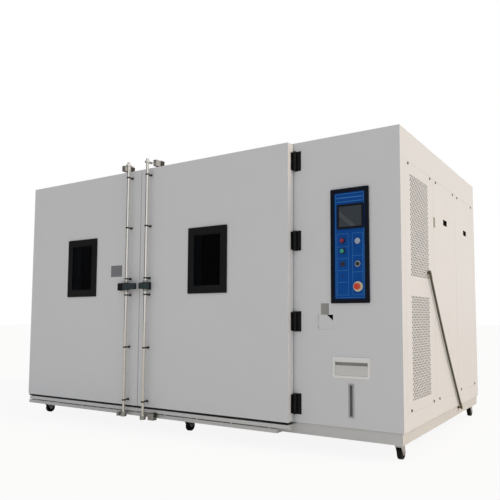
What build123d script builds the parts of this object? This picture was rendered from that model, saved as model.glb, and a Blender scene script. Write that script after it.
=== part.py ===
from build123d import *
import os
from math import pi, radians, tan

# Walk-in environmental test chamber: two insulated swing doors with lock rods, and a machine
# compartment with a control panel on the right. Sizes are in millimetres.
# While it is built, x is measured from the machine's right face (negative to the left), y from
# the front plane of the body (positive to the back) and z from the floor.

# Overall sizes
WIDTH = 3380
DEPTH = 1890
HEIGHT = 1990
BASE_HEIGHT = 71

# Sheet and walls
SHEET = 2.0
WALL = 100.0
SEAM = 1.0
FIT_GAP = 0.3
RUNNING_GAP = 0.06

# Division between the chamber and the machine compartment
MACHINE_WIDTH = 727
STILE_RIGHT = 656
BASE_INSET_FRONT = 8
BASE_INSET_SIDE = 11
RAIL = 60
POST = 40
DECK = 4

# Doors
DOOR_THICKNESS = 74
DOOR_MARGIN_LEFT = 5
DOOR_RIGHT = 732
DOOR_SPLIT = 2053
SPLIT_GAP = 6
DOOR_BOTTOM = 176
DOOR_HEAD_GAP = 10
DOOR_TOP = HEIGHT - DOOR_HEAD_GAP
GASKET = 8
GASKET_WIDTH = 34
SEAL_EDGE = 10
DOOR_LAND = 95
SWEEP_HEIGHT = 13

# Door windows
WINDOW_WIDTH = 347
WINDOW_HEIGHT = 473
WINDOW_BOTTOM = 1007
WINDOW_FRAME = 8
WINDOW_BORDER = 56
PANE = 6
WINDOW_CENTRES = (-2712, -1395)

# Door hinges
HINGE_STANDOFF = 16
HINGE_RADIUS = 11.5
PIN_RADIUS = 5.0
LEAF = 4.0
LEAF_REACH = 40
HINGE_HEIGHT = 130
HINGE_TOPS = (1930, 1402, 878, 354)

# Lock rods
ROD_RADIUS = 11.0
ROD_STANDOFF = 40
ROD_X = (-2153, -1953)
ROD_BOTTOM = 112
ROD_ABOVE_ROOF = 54
ROD_TOP = HEIGHT + ROD_ABOVE_ROOF
GUIDE_HEIGHT = 24
GUIDE_LEVELS = (219, 614, 1012, 1138, 1529, 1940)
HANDLE_LEVEL = 1075
HANDLE_HEIGHT = 52
HANDLE_REACH = (100, 58)
REST_REACH = (98, 52)
REST_DEPTH = 30
HUB_RADIUS = 27

# Cams and keepers at the ends of the rods
CAM_HEIGHT = 12
CAM_REACH = 44
CAM_WIDTH = 18
CAM_ABOVE_ROOF = 28
TOP_CAM = HEIGHT + CAM_ABOVE_ROOF
LOW_CAM = 119
KEEPER_PIN = 8
KEEPER_PLATE = 5

# Sill below the doors
SILL_TOP = 160
SILL_LIP = 24
SILL_LEFT = 3351
SILL_RIGHT = 716
OUTRIGGER_DEPTH = 60
OUTRIGGER_HEIGHT = 26
OUTRIGGER_LEFT = 3380
OUTRIGGER_RIGHT = 824

# Casters
WHEEL_RADIUS = 37.5
SWIVEL_HEIGHT = 25
CASTER_HEIGHT = 2 * WHEEL_RADIUS + SWIVEL_HEIGHT
WHEEL_WIDTH = 30
AXLE_RADIUS = 5
FORK_TRAIL = 28
FORK_SHEET = 3
CASTER_X = (-60, -1690, -3320)
CASTER_Y = (82, 1800)

# Removable panels on the machine's right side
PANEL_BOTTOM = 270
PANEL_TOP = 1800
PANEL_FRONT = 72
PANEL_WIDTH = 590
PANEL_COUNT = 3
SCREW_RADIUS = 8.5
SCREW_HEAD = 3
SCREW_RISE = 14
SCREW_INSET = 68
VENTS = ((170, 530, 1090, 1730), (167, 540, 340, 928))
VENT_PITCH = 54
VENT_ROW = 30
VENT_RADIUS = 10.5
GRIP_WIDTH = 100
GRIP_HEIGHT = 42
GRIP_LEVEL = 1530
GRIP_DEPTH = 16

# Control panel
CONTROL_LEFT = 458
CONTROL_RIGHT = 200
CONTROL_BOTTOM = 925
CONTROL_TOP = 1642
CONTROL_BORDER = 26
CONTROL_PROUD = 12
CONTROL_PLATE = 4
CONTROL_RECESS = 6
SCREEN_CENTRE = (-322, 1463)
SCREEN_SIZE = (179, 154)
LEFT_COLUMN = -377
RIGHT_COLUMN = -275
RED_LEVEL = 1314
GREEN_LEVEL = 1249
PORT_LEVEL = 1168
KEY_LEVEL = 1306
SELECTOR_LEVEL = 1165
STOP_LEVEL = 1026
COLLAR_RADIUS = 18
STOP_RING_RADIUS = 31
BUTTON_RADIUS = 13
STEM_RADIUS = 9
MUSHROOM_RADIUS = 20

# Flap, water drawer and level window on the front panel
FLAP = (-555, -449, 763, 855)
FLAP_NOTCH = 24
FLAP_GAP = 0.6
FLAP_ROLL = 3.0
FLAP_BARREL = 12
POCKET_DEPTH = 45
DRAWER = (-449, -203, 469, 595)
DRAWER_BORDER = 14
DRAWER_DEPTH = 200
LEVEL_WINDOW = (-347, -310, 231, 438)

# Circulation fan and air plenum
PLENUM_DEPTH = 260
FAN_RADIUS = 170
FAN_BLADES = 6
FAN_Y = 900
FAN_LEVEL = 1500
SHAFT_RADIUS = 9
FAN_MOTOR = -640

# Cable port in the left wall
PORT_RADIUS = 25
PORT_TUBE = 2.5
PORT_Y = 700
CABLE_PORT_LEVEL = 1200

# Cable on the right side
CABLE_DIAMETER = 16
CABLE_TOP = (42, 519, 1128)
CABLE_MIDDLE = (43, 889, 625)
CABLE_END = (30, 1287, 152)

# Worked-out places
BASE_TOP = CASTER_HEIGHT + BASE_HEIGHT
DOOR_FACE = -DOOR_THICKNESS
ROD_Y = DOOR_FACE - ROD_STANDOFF
HINGE_Y = -HINGE_STANDOFF
CAVITY_LEFT = -WIDTH + WALL
CAVITY_RIGHT = -DOOR_RIGHT - DOOR_LAND
CAVITY_BACK = DEPTH - WALL
CAVITY_FLOOR = BASE_TOP + WALL
CAVITY_TOP = HEIGHT - WALL
CHAMBER_RIGHT = -MACHINE_WIDTH
FRONT_FRAME_DEPTH = 30
HINGE_REACH = HINGE_STANDOFF + HINGE_RADIUS - DOOR_MARGIN_LEFT
HANDLE_FRONT = -ROD_Y + HUB_RADIUS

# The part's own frame has its origin on the floor at the middle of its box.
CENTRE_X = (SCREW_HEAD - WIDTH - HINGE_REACH) / 2
CENTRE_Y = (DEPTH + SCREW_HEAD - HANDLE_FRONT) / 2


def block(x0, x1, y0, y1, z0, z1):
    """A box given by its limits along each axis."""
    size = (x1 - x0, y1 - y0, z1 - z0)
    return Pos((x0 + x1) / 2, (y0 + y1) / 2, (z0 + z1) / 2) * Box(*size)


def rod_x(radius, x0, x1, y, z):
    """A cylinder along x."""
    return Pos((x0 + x1) / 2, y, z) * Rot(0, 90, 0) * Cylinder(radius, x1 - x0)


def rod_y(radius, x, y0, y1, z):
    """A cylinder along y."""
    return Pos(x, (y0 + y1) / 2, z) * Rot(90, 0, 0) * Cylinder(radius, y1 - y0)


def rod_z(radius, x, y, z0, z1):
    """An upright cylinder."""
    return Pos(x, y, (z0 + z1) / 2) * Cylinder(radius, z1 - z0)


def front_plate(x0, x1, z0, z1, y0, y1, corner):
    """A plate facing the front, with its four corners rounded."""
    outline = RectangleRounded(x1 - x0, z1 - z0, corner)
    plate = extrude(outline, amount=y1 - y0)
    return Pos((x0 + x1) / 2, y1, (z0 + z1) / 2) * Rot(90, 0, 0) * plate


def save(name, *pieces):
    """Moves the pieces to the part's own frame and writes them as one node."""
    group = [Pos(-CENTRE_X, -CENTRE_Y, 0) * piece for piece in pieces]
    shape = group[0] if len(group) == 1 else Compound(children=group)
    export_step(shape, f"parts/{name}.step")


def base_frame():
    """The welded base: rails, the machine's deck and posts, and the channel below the sill."""
    left = -WIDTH + BASE_INSET_SIDE
    right = -BASE_INSET_SIDE
    front = BASE_INSET_FRONT
    back = DEPTH - BASE_INSET_FRONT
    z0 = CASTER_HEIGHT
    frame = block(left, right, front, back, z0, BASE_TOP)
    rails = (left, CASTER_X[1], CHAMBER_RIGHT, right)
    for west, east in zip(rails, rails[1:]):
        x0 = west + (RAIL if west == left else RAIL / 2)
        x1 = east - (RAIL if east == right else RAIL / 2)
        frame -= block(x0, x1, front + RAIL * 2, back - RAIL * 2, z0 - 1, BASE_TOP + 1)
    frame += block(-OUTRIGGER_LEFT, -OUTRIGGER_RIGHT, -OUTRIGGER_DEPTH, front, z0, z0 + OUTRIGGER_HEIGHT)
    inside = SHEET * 2 + FIT_GAP
    for x0 in (CHAMBER_RIGHT + SHEET + FIT_GAP, -POST - inside):
        for y0 in (POST, DEPTH - POST * 2):
            frame += block(x0, x0 + POST, y0, y0 + POST, BASE_TOP, HEIGHT - SHEET - FIT_GAP)
    deck = block(CHAMBER_RIGHT + RAIL / 2 - 1, right - RAIL + 1, front + RAIL * 2 - 1, back - RAIL * 2 + 1,
                 BASE_TOP - DECK, BASE_TOP)
    return frame + deck


def door_sill():
    """The folded sill in front of the chamber, carried on short ribs above the base channel."""
    lip = SHEET * 2
    under = SILL_TOP - lip
    channel_top = CASTER_HEIGHT + OUTRIGGER_HEIGHT
    sill = block(-SILL_LEFT, -SILL_RIGHT, DOOR_FACE, BASE_INSET_FRONT, under, SILL_TOP)
    sill += block(-SILL_LEFT, -SILL_RIGHT, DOOR_FACE, DOOR_FACE + lip, SILL_TOP - SILL_LIP, SILL_TOP)
    ribs = 9
    span = SILL_LEFT - OUTRIGGER_RIGHT - 2 * RAIL
    for i in range(ribs):
        x = -SILL_LEFT + RAIL + span * i / (ribs - 1)
        sill += block(x - lip, x + lip, -OUTRIGGER_DEPTH, BASE_INSET_FRONT, channel_top, under)
    return sill


def chamber_box(inset, front, back):
    """The chamber's outer block, drawn in by an inset."""
    return block(-WIDTH + inset, CHAMBER_RIGHT - inset, front, back - inset, BASE_TOP + inset, HEIGHT - inset)


def port_hole(radius):
    """The round way through the left wall for test cables."""
    return rod_x(radius, -WIDTH - 1, CAVITY_LEFT + SHEET + 1, PORT_Y, CABLE_PORT_LEVEL)


def fan_hole(radius):
    """The round way through the right wall for the fan's shaft."""
    return rod_x(radius, CAVITY_RIGHT - SHEET - 1, CHAMBER_RIGHT + 1, FAN_Y, FAN_LEVEL)


def chamber_shell():
    """The painted sheet skin round the left side, top, back, floor and dividing wall."""
    skin = chamber_box(0, FRONT_FRAME_DEPTH, DEPTH)
    skin -= chamber_box(SHEET, FRONT_FRAME_DEPTH - 1, DEPTH)
    return skin - port_hole(PORT_RADIUS + PORT_TUBE) - fan_hole(SHAFT_RADIUS + 4)


def chamber_insulation():
    """Five foam slabs that butt together inside the skin."""
    x0 = -WIDTH + SHEET
    x1 = CHAMBER_RIGHT - SHEET
    y0 = FRONT_FRAME_DEPTH
    y1 = DEPTH - SHEET
    z0 = BASE_TOP + SHEET
    z1 = HEIGHT - SHEET
    left = CAVITY_LEFT - SHEET
    right = CAVITY_RIGHT + SHEET
    back = CAVITY_BACK + SHEET
    low = CAVITY_FLOOR - SHEET
    high = CAVITY_TOP + SHEET
    slabs = [
        block(x0, x1, y0, y1, z0, low),
        block(x0, x1, y0, y1, high, z1),
        block(x0, x1, back, y1, low, high),
        block(x0, left, y0, back, low, high) - port_hole(PORT_RADIUS + PORT_TUBE),
        block(right, x1, y0, back, low, high) - fan_hole(SHAFT_RADIUS + 4),
    ]
    return slabs


def chamber_liner():
    """The stainless inner box with its floor ribs and the sleeve of the cable port."""
    y0 = FRONT_FRAME_DEPTH
    left = CAVITY_LEFT - SHEET
    right = CAVITY_RIGHT + SHEET
    outer = block(left, right, y0, CAVITY_BACK + SHEET, CAVITY_FLOOR - SHEET, CAVITY_TOP + SHEET)
    inner = block(CAVITY_LEFT, CAVITY_RIGHT, y0 - 1, CAVITY_BACK, CAVITY_FLOOR, CAVITY_TOP)
    sleeve = rod_x(PORT_RADIUS + PORT_TUBE, -WIDTH, CAVITY_LEFT, PORT_Y, CABLE_PORT_LEVEL)
    liner = outer - inner + sleeve
    rib_count = 8
    rib_gap = (CAVITY_RIGHT - PLENUM_DEPTH - CAVITY_LEFT) / rib_count
    for i in range(rib_count):
        x = CAVITY_LEFT + rib_gap * (i + 0.5)
        liner += block(x - 20, x + 20, y0 + 40, CAVITY_BACK - 40, CAVITY_FLOOR, CAVITY_FLOOR + SHEET)
    return liner - port_hole(PORT_RADIUS) - fan_hole(SHAFT_RADIUS + 4)


def front_frame():
    """The front frame that the doors close on, with a wide stile on the machine's side."""
    frame = block(-WIDTH, -STILE_RIGHT, 0, FRONT_FRAME_DEPTH, BASE_TOP, HEIGHT)
    frame -= block(CAVITY_LEFT, CAVITY_RIGHT, -1, FRONT_FRAME_DEPTH + 1, CAVITY_FLOOR, CAVITY_TOP)
    pocket_left = CHAMBER_RIGHT
    pocket_right = -STILE_RIGHT + 1
    return frame - block(pocket_left, pocket_right, SHEET * 2, FRONT_FRAME_DEPTH + 1, BASE_TOP - 1, HEIGHT + 1)


def air_plenum():
    """The baffle in front of the conditioning section, with inlet and outlet slots and a fan ring."""
    x0 = CAVITY_RIGHT - PLENUM_DEPTH
    y0 = FRONT_FRAME_DEPTH + 60
    baffle = block(x0, x0 + SHEET, y0, CAVITY_BACK, CAVITY_FLOOR, CAVITY_TOP)
    slot_rows = 4
    slot_count = 6
    pitch = (CAVITY_BACK - y0) / slot_count
    for level in (CAVITY_FLOOR + 80, CAVITY_TOP - 240):
        for row in range(slot_rows):
            for i in range(slot_count):
                y = y0 + pitch * (i + 0.5)
                z = level + row * 44
                baffle -= block(x0 - 1, x0 + SHEET + 1, y - pitch * 0.4, y + pitch * 0.4, z, z + 22)
    for y in (y0, CAVITY_BACK - SHEET):
        baffle += block(x0, CAVITY_RIGHT, y, y + SHEET, CAVITY_FLOOR, CAVITY_TOP)
    deck_level = FAN_LEVEL - FAN_RADIUS - 30
    ring = rod_x(FAN_RADIUS + 22, x0 + 90, x0 + 150, FAN_Y, FAN_LEVEL)
    ring -= rod_x(FAN_RADIUS + 18, x0 + 89, x0 + 151, FAN_Y, FAN_LEVEL)
    foot = block(x0 + SHEET, CAVITY_RIGHT, FAN_Y - 60, FAN_Y + 60, deck_level, deck_level + 12)
    return baffle + ring + foot


def circulation_fan():
    """The propeller that moves the chamber's air, on a shaft through the dividing wall."""
    x0 = CAVITY_RIGHT - PLENUM_DEPTH + 100
    fan = rod_x(34, x0, x0 + 40, FAN_Y, FAN_LEVEL)
    for i in range(FAN_BLADES):
        blade = Pos(0, 0, (FAN_RADIUS + 30) / 2) * Rot(0, 0, 32) * Box(3, 78, FAN_RADIUS - 30)
        fan += Pos(x0 + 20, FAN_Y, FAN_LEVEL) * Rot(360 / FAN_BLADES * i, 0, 0) * blade
    return fan + rod_x(SHAFT_RADIUS, x0 + 30, CHAMBER_RIGHT + 60, FAN_Y, FAN_LEVEL)


def machine_casing():
    """The folded casing of the machine compartment: side frame, roof and corner strips."""
    side_frame = block(-SHEET, 0, 0, DEPTH, BASE_TOP, HEIGHT)
    panel_back = PANEL_FRONT + PANEL_WIDTH * PANEL_COUNT
    side_frame -= block(-SHEET - 1, 1, PANEL_FRONT, panel_back, PANEL_BOTTOM, PANEL_TOP)
    roof = block(CHAMBER_RIGHT, 0, FRONT_FRAME_DEPTH, DEPTH, HEIGHT - SHEET, HEIGHT)
    roof += block(-STILE_RIGHT, 0, SHEET, FRONT_FRAME_DEPTH, HEIGHT - SHEET, HEIGHT)
    rim = 26
    back_x = -SHEET * 2
    flange = block(back_x, -SHEET, PANEL_FRONT - rim, panel_back + rim, PANEL_BOTTOM - rim, PANEL_TOP + rim)
    for i in range(PANEL_COUNT):
        y0 = PANEL_FRONT + PANEL_WIDTH * i
        hole = block(back_x - 1, 0, y0 + rim, y0 + PANEL_WIDTH - rim, PANEL_BOTTOM + rim, PANEL_TOP - rim)
        flange -= hole
    return side_frame + roof + flange


def plain_panel(index):
    """One flat removable side panel, flush with the casing."""
    y0 = PANEL_FRONT + PANEL_WIDTH * index
    return block(-SHEET, 0, y0 + SEAM, y0 + PANEL_WIDTH - SEAM, PANEL_BOTTOM + SEAM, PANEL_TOP - SEAM)


def side_panel_vented():
    """The front side panel with its two fields of staggered punched holes."""
    panel = plain_panel(0)
    for y0, y1, z0, z1 in VENTS:
        rows = int((z1 - z0) / VENT_ROW)
        columns = int((y1 - y0) / VENT_PITCH)
        places = []
        for row in range(rows):
            shift = VENT_PITCH / 2 if row % 2 else 0
            count = columns if row % 2 == 0 else columns - 1
            for i in range(count):
                y = y0 + VENT_PITCH / 2 + shift + i * VENT_PITCH
                places.append((y, z0 + VENT_ROW * (row + 0.5)))
        holes = Sketch() + [Pos(y, z) * RegularPolygon(VENT_RADIUS, 6) for y, z in places]
        face = Plane(origin=(-SHEET - 1, 0, 0), x_dir=(0, 1, 0), z_dir=(1, 0, 0))
        panel -= extrude(face * holes, amount=SHEET + 2)
    return panel


def grip_centre(index):
    """Where a flush grip sits on a plain panel, along y."""
    return PANEL_FRONT + PANEL_WIDTH * (index + 0.5)


def side_panels_plain():
    """The middle and rear side panels, each cut for its flush grip."""
    panels = []
    for index in (1, 2):
        y = grip_centre(index)
        cut = block(-SHEET - 1, 1, y - GRIP_WIDTH / 2, y + GRIP_WIDTH / 2,
                    GRIP_LEVEL - GRIP_HEIGHT / 2, GRIP_LEVEL + GRIP_HEIGHT / 2)
        panels.append(plain_panel(index) - cut)
    return panels


def panel_grips():
    """Black moulded cups let into the two plain panels as finger grips."""
    cups = []
    for index in (1, 2):
        y = grip_centre(index)
        half_y = GRIP_WIDTH / 2
        half_z = GRIP_HEIGHT / 2
        cup = block(-GRIP_DEPTH, 0, y - half_y, y + half_y, GRIP_LEVEL - half_z, GRIP_LEVEL + half_z)
        wall = SHEET
        cup -= block(-GRIP_DEPTH + wall, 1, y - half_y + wall, y + half_y - wall,
                     GRIP_LEVEL - half_z + wall, GRIP_LEVEL + half_z - wall)
        cups.append(cup)
    return cups


def panel_screws():
    """Cap screws along the top and bottom edges of the side panels."""
    screws = []
    for index in range(PANEL_COUNT):
        y0 = PANEL_FRONT + PANEL_WIDTH * index
        for y in (y0 + SCREW_INSET, y0 + PANEL_WIDTH - SCREW_INSET):
            for z in (PANEL_BOTTOM + SCREW_RISE, PANEL_TOP - SCREW_RISE):
                screws.append(rod_x(SCREW_RADIUS, 0, SCREW_HEAD, y, z))
    return screws


def front_panel():
    """The machine's front panel with its pocket behind the flap and its other openings."""
    panel = block(-STILE_RIGHT, -SHEET, 0, SHEET, BASE_TOP, HEIGHT)
    edge = CONTROL_BORDER / 2
    panel -= block(-CONTROL_LEFT + edge, -CONTROL_RIGHT - edge, -1, SHEET + 1,
                   CONTROL_BOTTOM + edge, CONTROL_TOP - edge)
    x0, x1, z0, z1 = FLAP
    wall = SHEET
    panel += block(x0 - wall, x1 + wall, SHEET, POCKET_DEPTH, z0 - wall, z1 + wall)
    panel -= block(x0, x1, -1, POCKET_DEPTH - wall, z0, z1)
    x, y = flap_axis()
    for low in (z0 + FIT_GAP, z1 - FLAP_BARREL):
        high = low + FLAP_BARREL - FIT_GAP
        panel += rod_z(FLAP_ROLL, x, y, low, high)
        panel += block(x0 - 12, x, y, 0, low, high) - block(x0, x + 1, -FLAP_GAP, 1, low - 1, high + 1)
    x0, x1, z0, z1 = DRAWER
    edge = DRAWER_BORDER / 2
    panel -= block(x0 + edge, x1 - edge, -1, SHEET + 1, z0 + edge, z1 - edge)
    x0, x1, z0, z1 = LEVEL_WINDOW
    edge = 6
    return panel - block(x0 + edge, x1 - edge, -1, SHEET + 1, z0 + edge, z1 - edge)


def back_panel():
    """The machine's rear panel with its louvre slots."""
    panel = block(CHAMBER_RIGHT, -SHEET, DEPTH - SHEET, DEPTH, BASE_TOP, HEIGHT - SHEET)
    middle = (CHAMBER_RIGHT - SHEET) / 2
    for level in (420, 1450):
        for row in range(8):
            z = level + row * 40
            panel -= block(middle - 200, middle + 200, DEPTH - SHEET - 1, DEPTH + 1, z, z + 16)
    corners = [(x, z) for x in (CHAMBER_RIGHT + 40, -40) for z in (BASE_TOP + 40, HEIGHT - 40)]
    for x, z in corners:
        panel += rod_y(SCREW_RADIUS, x, DEPTH, DEPTH + SCREW_HEAD, z)
    return panel


def control_bezel():
    """The black frame round the control plate."""
    outer = front_plate(-CONTROL_LEFT, -CONTROL_RIGHT, CONTROL_BOTTOM, CONTROL_TOP, -CONTROL_PROUD, 0, 6)
    inner = block(-CONTROL_LEFT + CONTROL_BORDER, -CONTROL_RIGHT - CONTROL_BORDER,
                  -CONTROL_PROUD - 1, 1, CONTROL_BOTTOM + CONTROL_BORDER, CONTROL_TOP - CONTROL_BORDER)
    front_edges = outer.edges().filter_by_position(Axis.Y, -CONTROL_PROUD - 0.1, -CONTROL_PROUD + 0.1)
    return chamfer(front_edges, 2) - inner


def plate_back():
    """The rear face of the control plate, along y."""
    return -CONTROL_PROUD + CONTROL_RECESS + CONTROL_PLATE


def control_places():
    """Each switch's centre and the radius of the hole that its stem passes."""
    stem = STEM_RADIUS + RUNNING_GAP
    return [
        (LEFT_COLUMN, RED_LEVEL, stem),
        (LEFT_COLUMN, GREEN_LEVEL, stem),
        (RIGHT_COLUMN, KEY_LEVEL, stem),
        (RIGHT_COLUMN, SELECTOR_LEVEL, stem),
        (RIGHT_COLUMN, STOP_LEVEL, stem),
    ]


def control_plate():
    """The blue plate that carries the screen and the switches."""
    face = -CONTROL_PROUD + CONTROL_RECESS
    plate = block(-CONTROL_LEFT + CONTROL_BORDER, -CONTROL_RIGHT - CONTROL_BORDER,
                  face, plate_back(), CONTROL_BOTTOM + CONTROL_BORDER, CONTROL_TOP - CONTROL_BORDER)
    for x, z, radius in control_places():
        plate -= rod_y(radius, x, face - 1, plate_back() + 1, z)
    port = 24
    plate -= block(LEFT_COLUMN - port / 2, LEFT_COLUMN + port / 2, face - 1, face + 2,
                   PORT_LEVEL - port / 2, PORT_LEVEL + port / 2)
    return plate


def touch_screen():
    """The screen's housing, standing on the plate, with a sunk display."""
    x, z = SCREEN_CENTRE
    half_x = SCREEN_SIZE[0] / 2
    half_z = SCREEN_SIZE[1] / 2
    face = -CONTROL_PROUD + CONTROL_RECESS
    proud = face - 7
    housing = front_plate(x - half_x, x + half_x, z - half_z, z + half_z, proud, face, 5)
    rim = 13
    housing -= block(x - half_x + rim, x + half_x - rim, proud - 1, proud + 1.5, z - half_z + rim, z + half_z - rim)
    return housing


def collar(x, z, outer, proud):
    """A switch's fixed collar on the plate, bored for the stem."""
    face = -CONTROL_PROUD + CONTROL_RECESS
    ring = rod_y(outer, x, face - proud, face, z)
    return ring - rod_y(STEM_RADIUS + RUNNING_GAP, x, face - proud - 1, face + 1, z)


def switch_collars():
    """The fixed collars of the five switches."""
    return [
        collar(LEFT_COLUMN, RED_LEVEL, COLLAR_RADIUS, 4),
        collar(LEFT_COLUMN, GREEN_LEVEL, COLLAR_RADIUS, 4),
        collar(RIGHT_COLUMN, KEY_LEVEL, COLLAR_RADIUS, 4),
        collar(RIGHT_COLUMN, SELECTOR_LEVEL, COLLAR_RADIUS, 4),
        collar(RIGHT_COLUMN, STOP_LEVEL, STOP_RING_RADIUS, 3),
    ]


def push_button(x, z, radius, gap, cap):
    """A button's cap and stem; the gap is the travel left between cap and collar."""
    collar_front = -CONTROL_PROUD + CONTROL_RECESS - 4
    cap_back = collar_front - gap
    button = rod_y(radius, x, cap_back - cap, cap_back, z)
    rim = button.edges().filter_by_position(Axis.Y, cap_back - cap - 0.1, cap_back - cap + 0.1)
    button = fillet(rim, min(2.5, cap / 3))
    return button + rod_y(STEM_RADIUS, x, cap_back, plate_back() + 16, z)


def turning_switch(z, key):
    """A rotary head with a raised bar, or with a flat key standing out of it."""
    collar_front = -CONTROL_PROUD + CONTROL_RECESS - 4
    head = rod_y(BUTTON_RADIUS, RIGHT_COLUMN, collar_front - 6, collar_front - FIT_GAP, z)
    if key:
        bar = block(RIGHT_COLUMN - 1.2, RIGHT_COLUMN + 1.2, collar_front - 28, collar_front - 5, z - 8, z + 8)
    else:
        bar = block(RIGHT_COLUMN - 3.5, RIGHT_COLUMN + 3.5, collar_front - 16, collar_front - 5, z - 12, z + 12)
    return head + bar + rod_y(STEM_RADIUS, RIGHT_COLUMN, collar_front - 1, plate_back() + 16, z)


def emergency_stop():
    """The mushroom head of the emergency stop, with its stem."""
    collar_front = -CONTROL_PROUD + CONTROL_RECESS - 3
    travel = 6
    neck = rod_y(12, RIGHT_COLUMN, collar_front - travel - 8, collar_front - travel, STOP_LEVEL)
    head_back = collar_front - travel - 6
    head = rod_y(MUSHROOM_RADIUS, RIGHT_COLUMN, head_back - 12, head_back, STOP_LEVEL)
    rim = head.edges().filter_by_position(Axis.Y, head_back - 12.1, head_back - 11.9)
    head = fillet(rim, 5)
    stem = rod_y(STEM_RADIUS, RIGHT_COLUMN, collar_front - travel, plate_back() + 16, STOP_LEVEL)
    return head + neck + stem


def flap_axis():
    """The flap's hinge axis, along x and y."""
    return FLAP[0] + FLAP_GAP + FLAP_ROLL, FLAP_GAP - FLAP_ROLL


def service_flap():
    """The small flap, hinged on its left edge, with a corner cut away for a finger."""
    x0, x1, z0, z1 = FLAP
    edge = FLAP_GAP
    corners = [
        (x0 + edge, z0 + edge),
        (x1 - edge, z0 + edge),
        (x1 - edge, z1 - FLAP_NOTCH),
        (x1 - FLAP_NOTCH - 12, z1 - edge),
        (x0 + edge, z1 - edge),
    ]
    outline = make_face(Polyline(*corners, close=True))
    leaf = extrude(Plane.XZ * outline, amount=-SHEET)
    x, y = flap_axis()
    for low in (z0, z1 - FLAP_BARREL - FIT_GAP):
        leaf -= block(x0, x + FLAP_ROLL + FIT_GAP, -1, SHEET + 1, low, low + FLAP_BARREL + FIT_GAP)
    barrel = rod_z(FLAP_ROLL, x, y, z0 + FLAP_BARREL + FIT_GAP, z1 - FLAP_BARREL - FIT_GAP)
    return leaf + barrel


def drawer_frame():
    """The moulded frame of the water drawer, with the sleeve that the drawer runs in."""
    x0, x1, z0, z1 = DRAWER
    proud = 8
    frame = front_plate(x0, x1, z0, z1, -proud, 0, 8)
    edge = DRAWER_BORDER / 2
    sleeve = block(x0 + edge, x1 - edge, 0, DRAWER_DEPTH, z0 + edge, z1 - edge)
    hollow = block(x0 + DRAWER_BORDER, x1 - DRAWER_BORDER, -proud - 1, DRAWER_DEPTH - SHEET,
                   z0 + DRAWER_BORDER, z1 - DRAWER_BORDER)
    return frame + sleeve - hollow


def fill_drawer():
    """The water drawer: an open tray whose low front leaves a finger slot above it."""
    x0, x1, z0, z1 = DRAWER
    gap = DRAWER_BORDER + 1
    slot = 34
    low = z0 + DRAWER_BORDER + FIT_GAP
    high = z1 - gap - slot
    tray = block(x0 + gap, x1 - gap, -4, DRAWER_DEPTH - 12, low, high)
    wall = 3
    tray -= block(x0 + gap + wall, x1 - gap - wall, 4, DRAWER_DEPTH - 12 - wall, low + wall, high + 1)
    lip = block(x0 + gap, x1 - gap, -10, -4, high - 9, high)
    return tray + lip


def level_window():
    """The water-level window: a grey frame with a clear slot in it."""
    x0, x1, z0, z1 = LEVEL_WINDOW
    frame = front_plate(x0, x1, z0, z1, -4, 0, 4)
    edge = 7
    frame += block(x0 + edge, x1 - edge, 0, 12, z0 + edge, z1 - edge)
    slot = 12
    return frame - block(x0 + slot, x1 - slot, -5, 8, z0 + slot, z1 - slot)


def side_sign(door):
    """Minus one for the left door, whose hinges are on its left, and one for the right door."""
    return -1 if door == "left" else 1


def hinge_x(door):
    """The hinge axis of a door, along x."""
    if door == "right":
        return -DOOR_RIGHT + HINGE_STANDOFF
    return -WIDTH + DOOR_MARGIN_LEFT - HINGE_STANDOFF


def hinge_knuckle(top, part):
    """A barrel of a hinge: the lowest and highest are fixed and the middle one turns."""
    third = HINGE_HEIGHT / 3
    z1 = top - third * part
    return z1 - third + FIT_GAP, z1 - FIT_GAP


def hinge_fixed_leaves():
    """The fixed half of every hinge: a leaf on the body, two barrels and the pin."""
    halves = []
    for door in ("left", "right"):
        x = hinge_x(door)
        for top in HINGE_TOPS:
            bottom = top - HINGE_HEIGHT
            if door == "right":
                half = block(x - HINGE_RADIUS / 2, x + LEAF_REACH, -LEAF, 0, bottom, top)
                web = (x - HINGE_RADIUS / 2, x + HINGE_RADIUS / 2)
            else:
                half = block(-WIDTH - LEAF, -WIDTH, 0, FRONT_FRAME_DEPTH, bottom, top)
                web = (-WIDTH - LEAF, -WIDTH)
            for part in (0, 2):
                z0, z1 = hinge_knuckle(top, part)
                half += rod_z(HINGE_RADIUS, x, HINGE_Y, z0, z1)
                half += block(*web, HINGE_Y, 0, z0, z1)
            half += rod_z(PIN_RADIUS, x, HINGE_Y, bottom + FIT_GAP, top - FIT_GAP)
            halves.append(half)
    return halves


def door_hinge_leaves(door):
    """The moving leaves on a door's edge, one for each hinge."""
    leaves = []
    x = hinge_x(door)
    side = side_sign(door)
    edge = x - side * HINGE_STANDOFF
    for top in HINGE_TOPS:
        z0, z1 = hinge_knuckle(top, 1)
        near = edge + side * (HINGE_STANDOFF - HINGE_RADIUS - 0.5)
        x0, x1 = sorted((edge, near))
        leaf = block(x0, x1, HINGE_Y - 24, HINGE_Y + 8, top - HINGE_HEIGHT + 6, top - 6)
        x0, x1 = sorted((edge, x))
        leaf += block(x0, x1, HINGE_Y - 6, HINGE_Y + 6, z0, z1)
        leaf += rod_z(HINGE_RADIUS, x, HINGE_Y, z0, z1)
        leaf -= rod_z(PIN_RADIUS + RUNNING_GAP, x, HINGE_Y, z0 - 1, z1 + 1)
        leaves.append(leaf)
    return leaves


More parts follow.
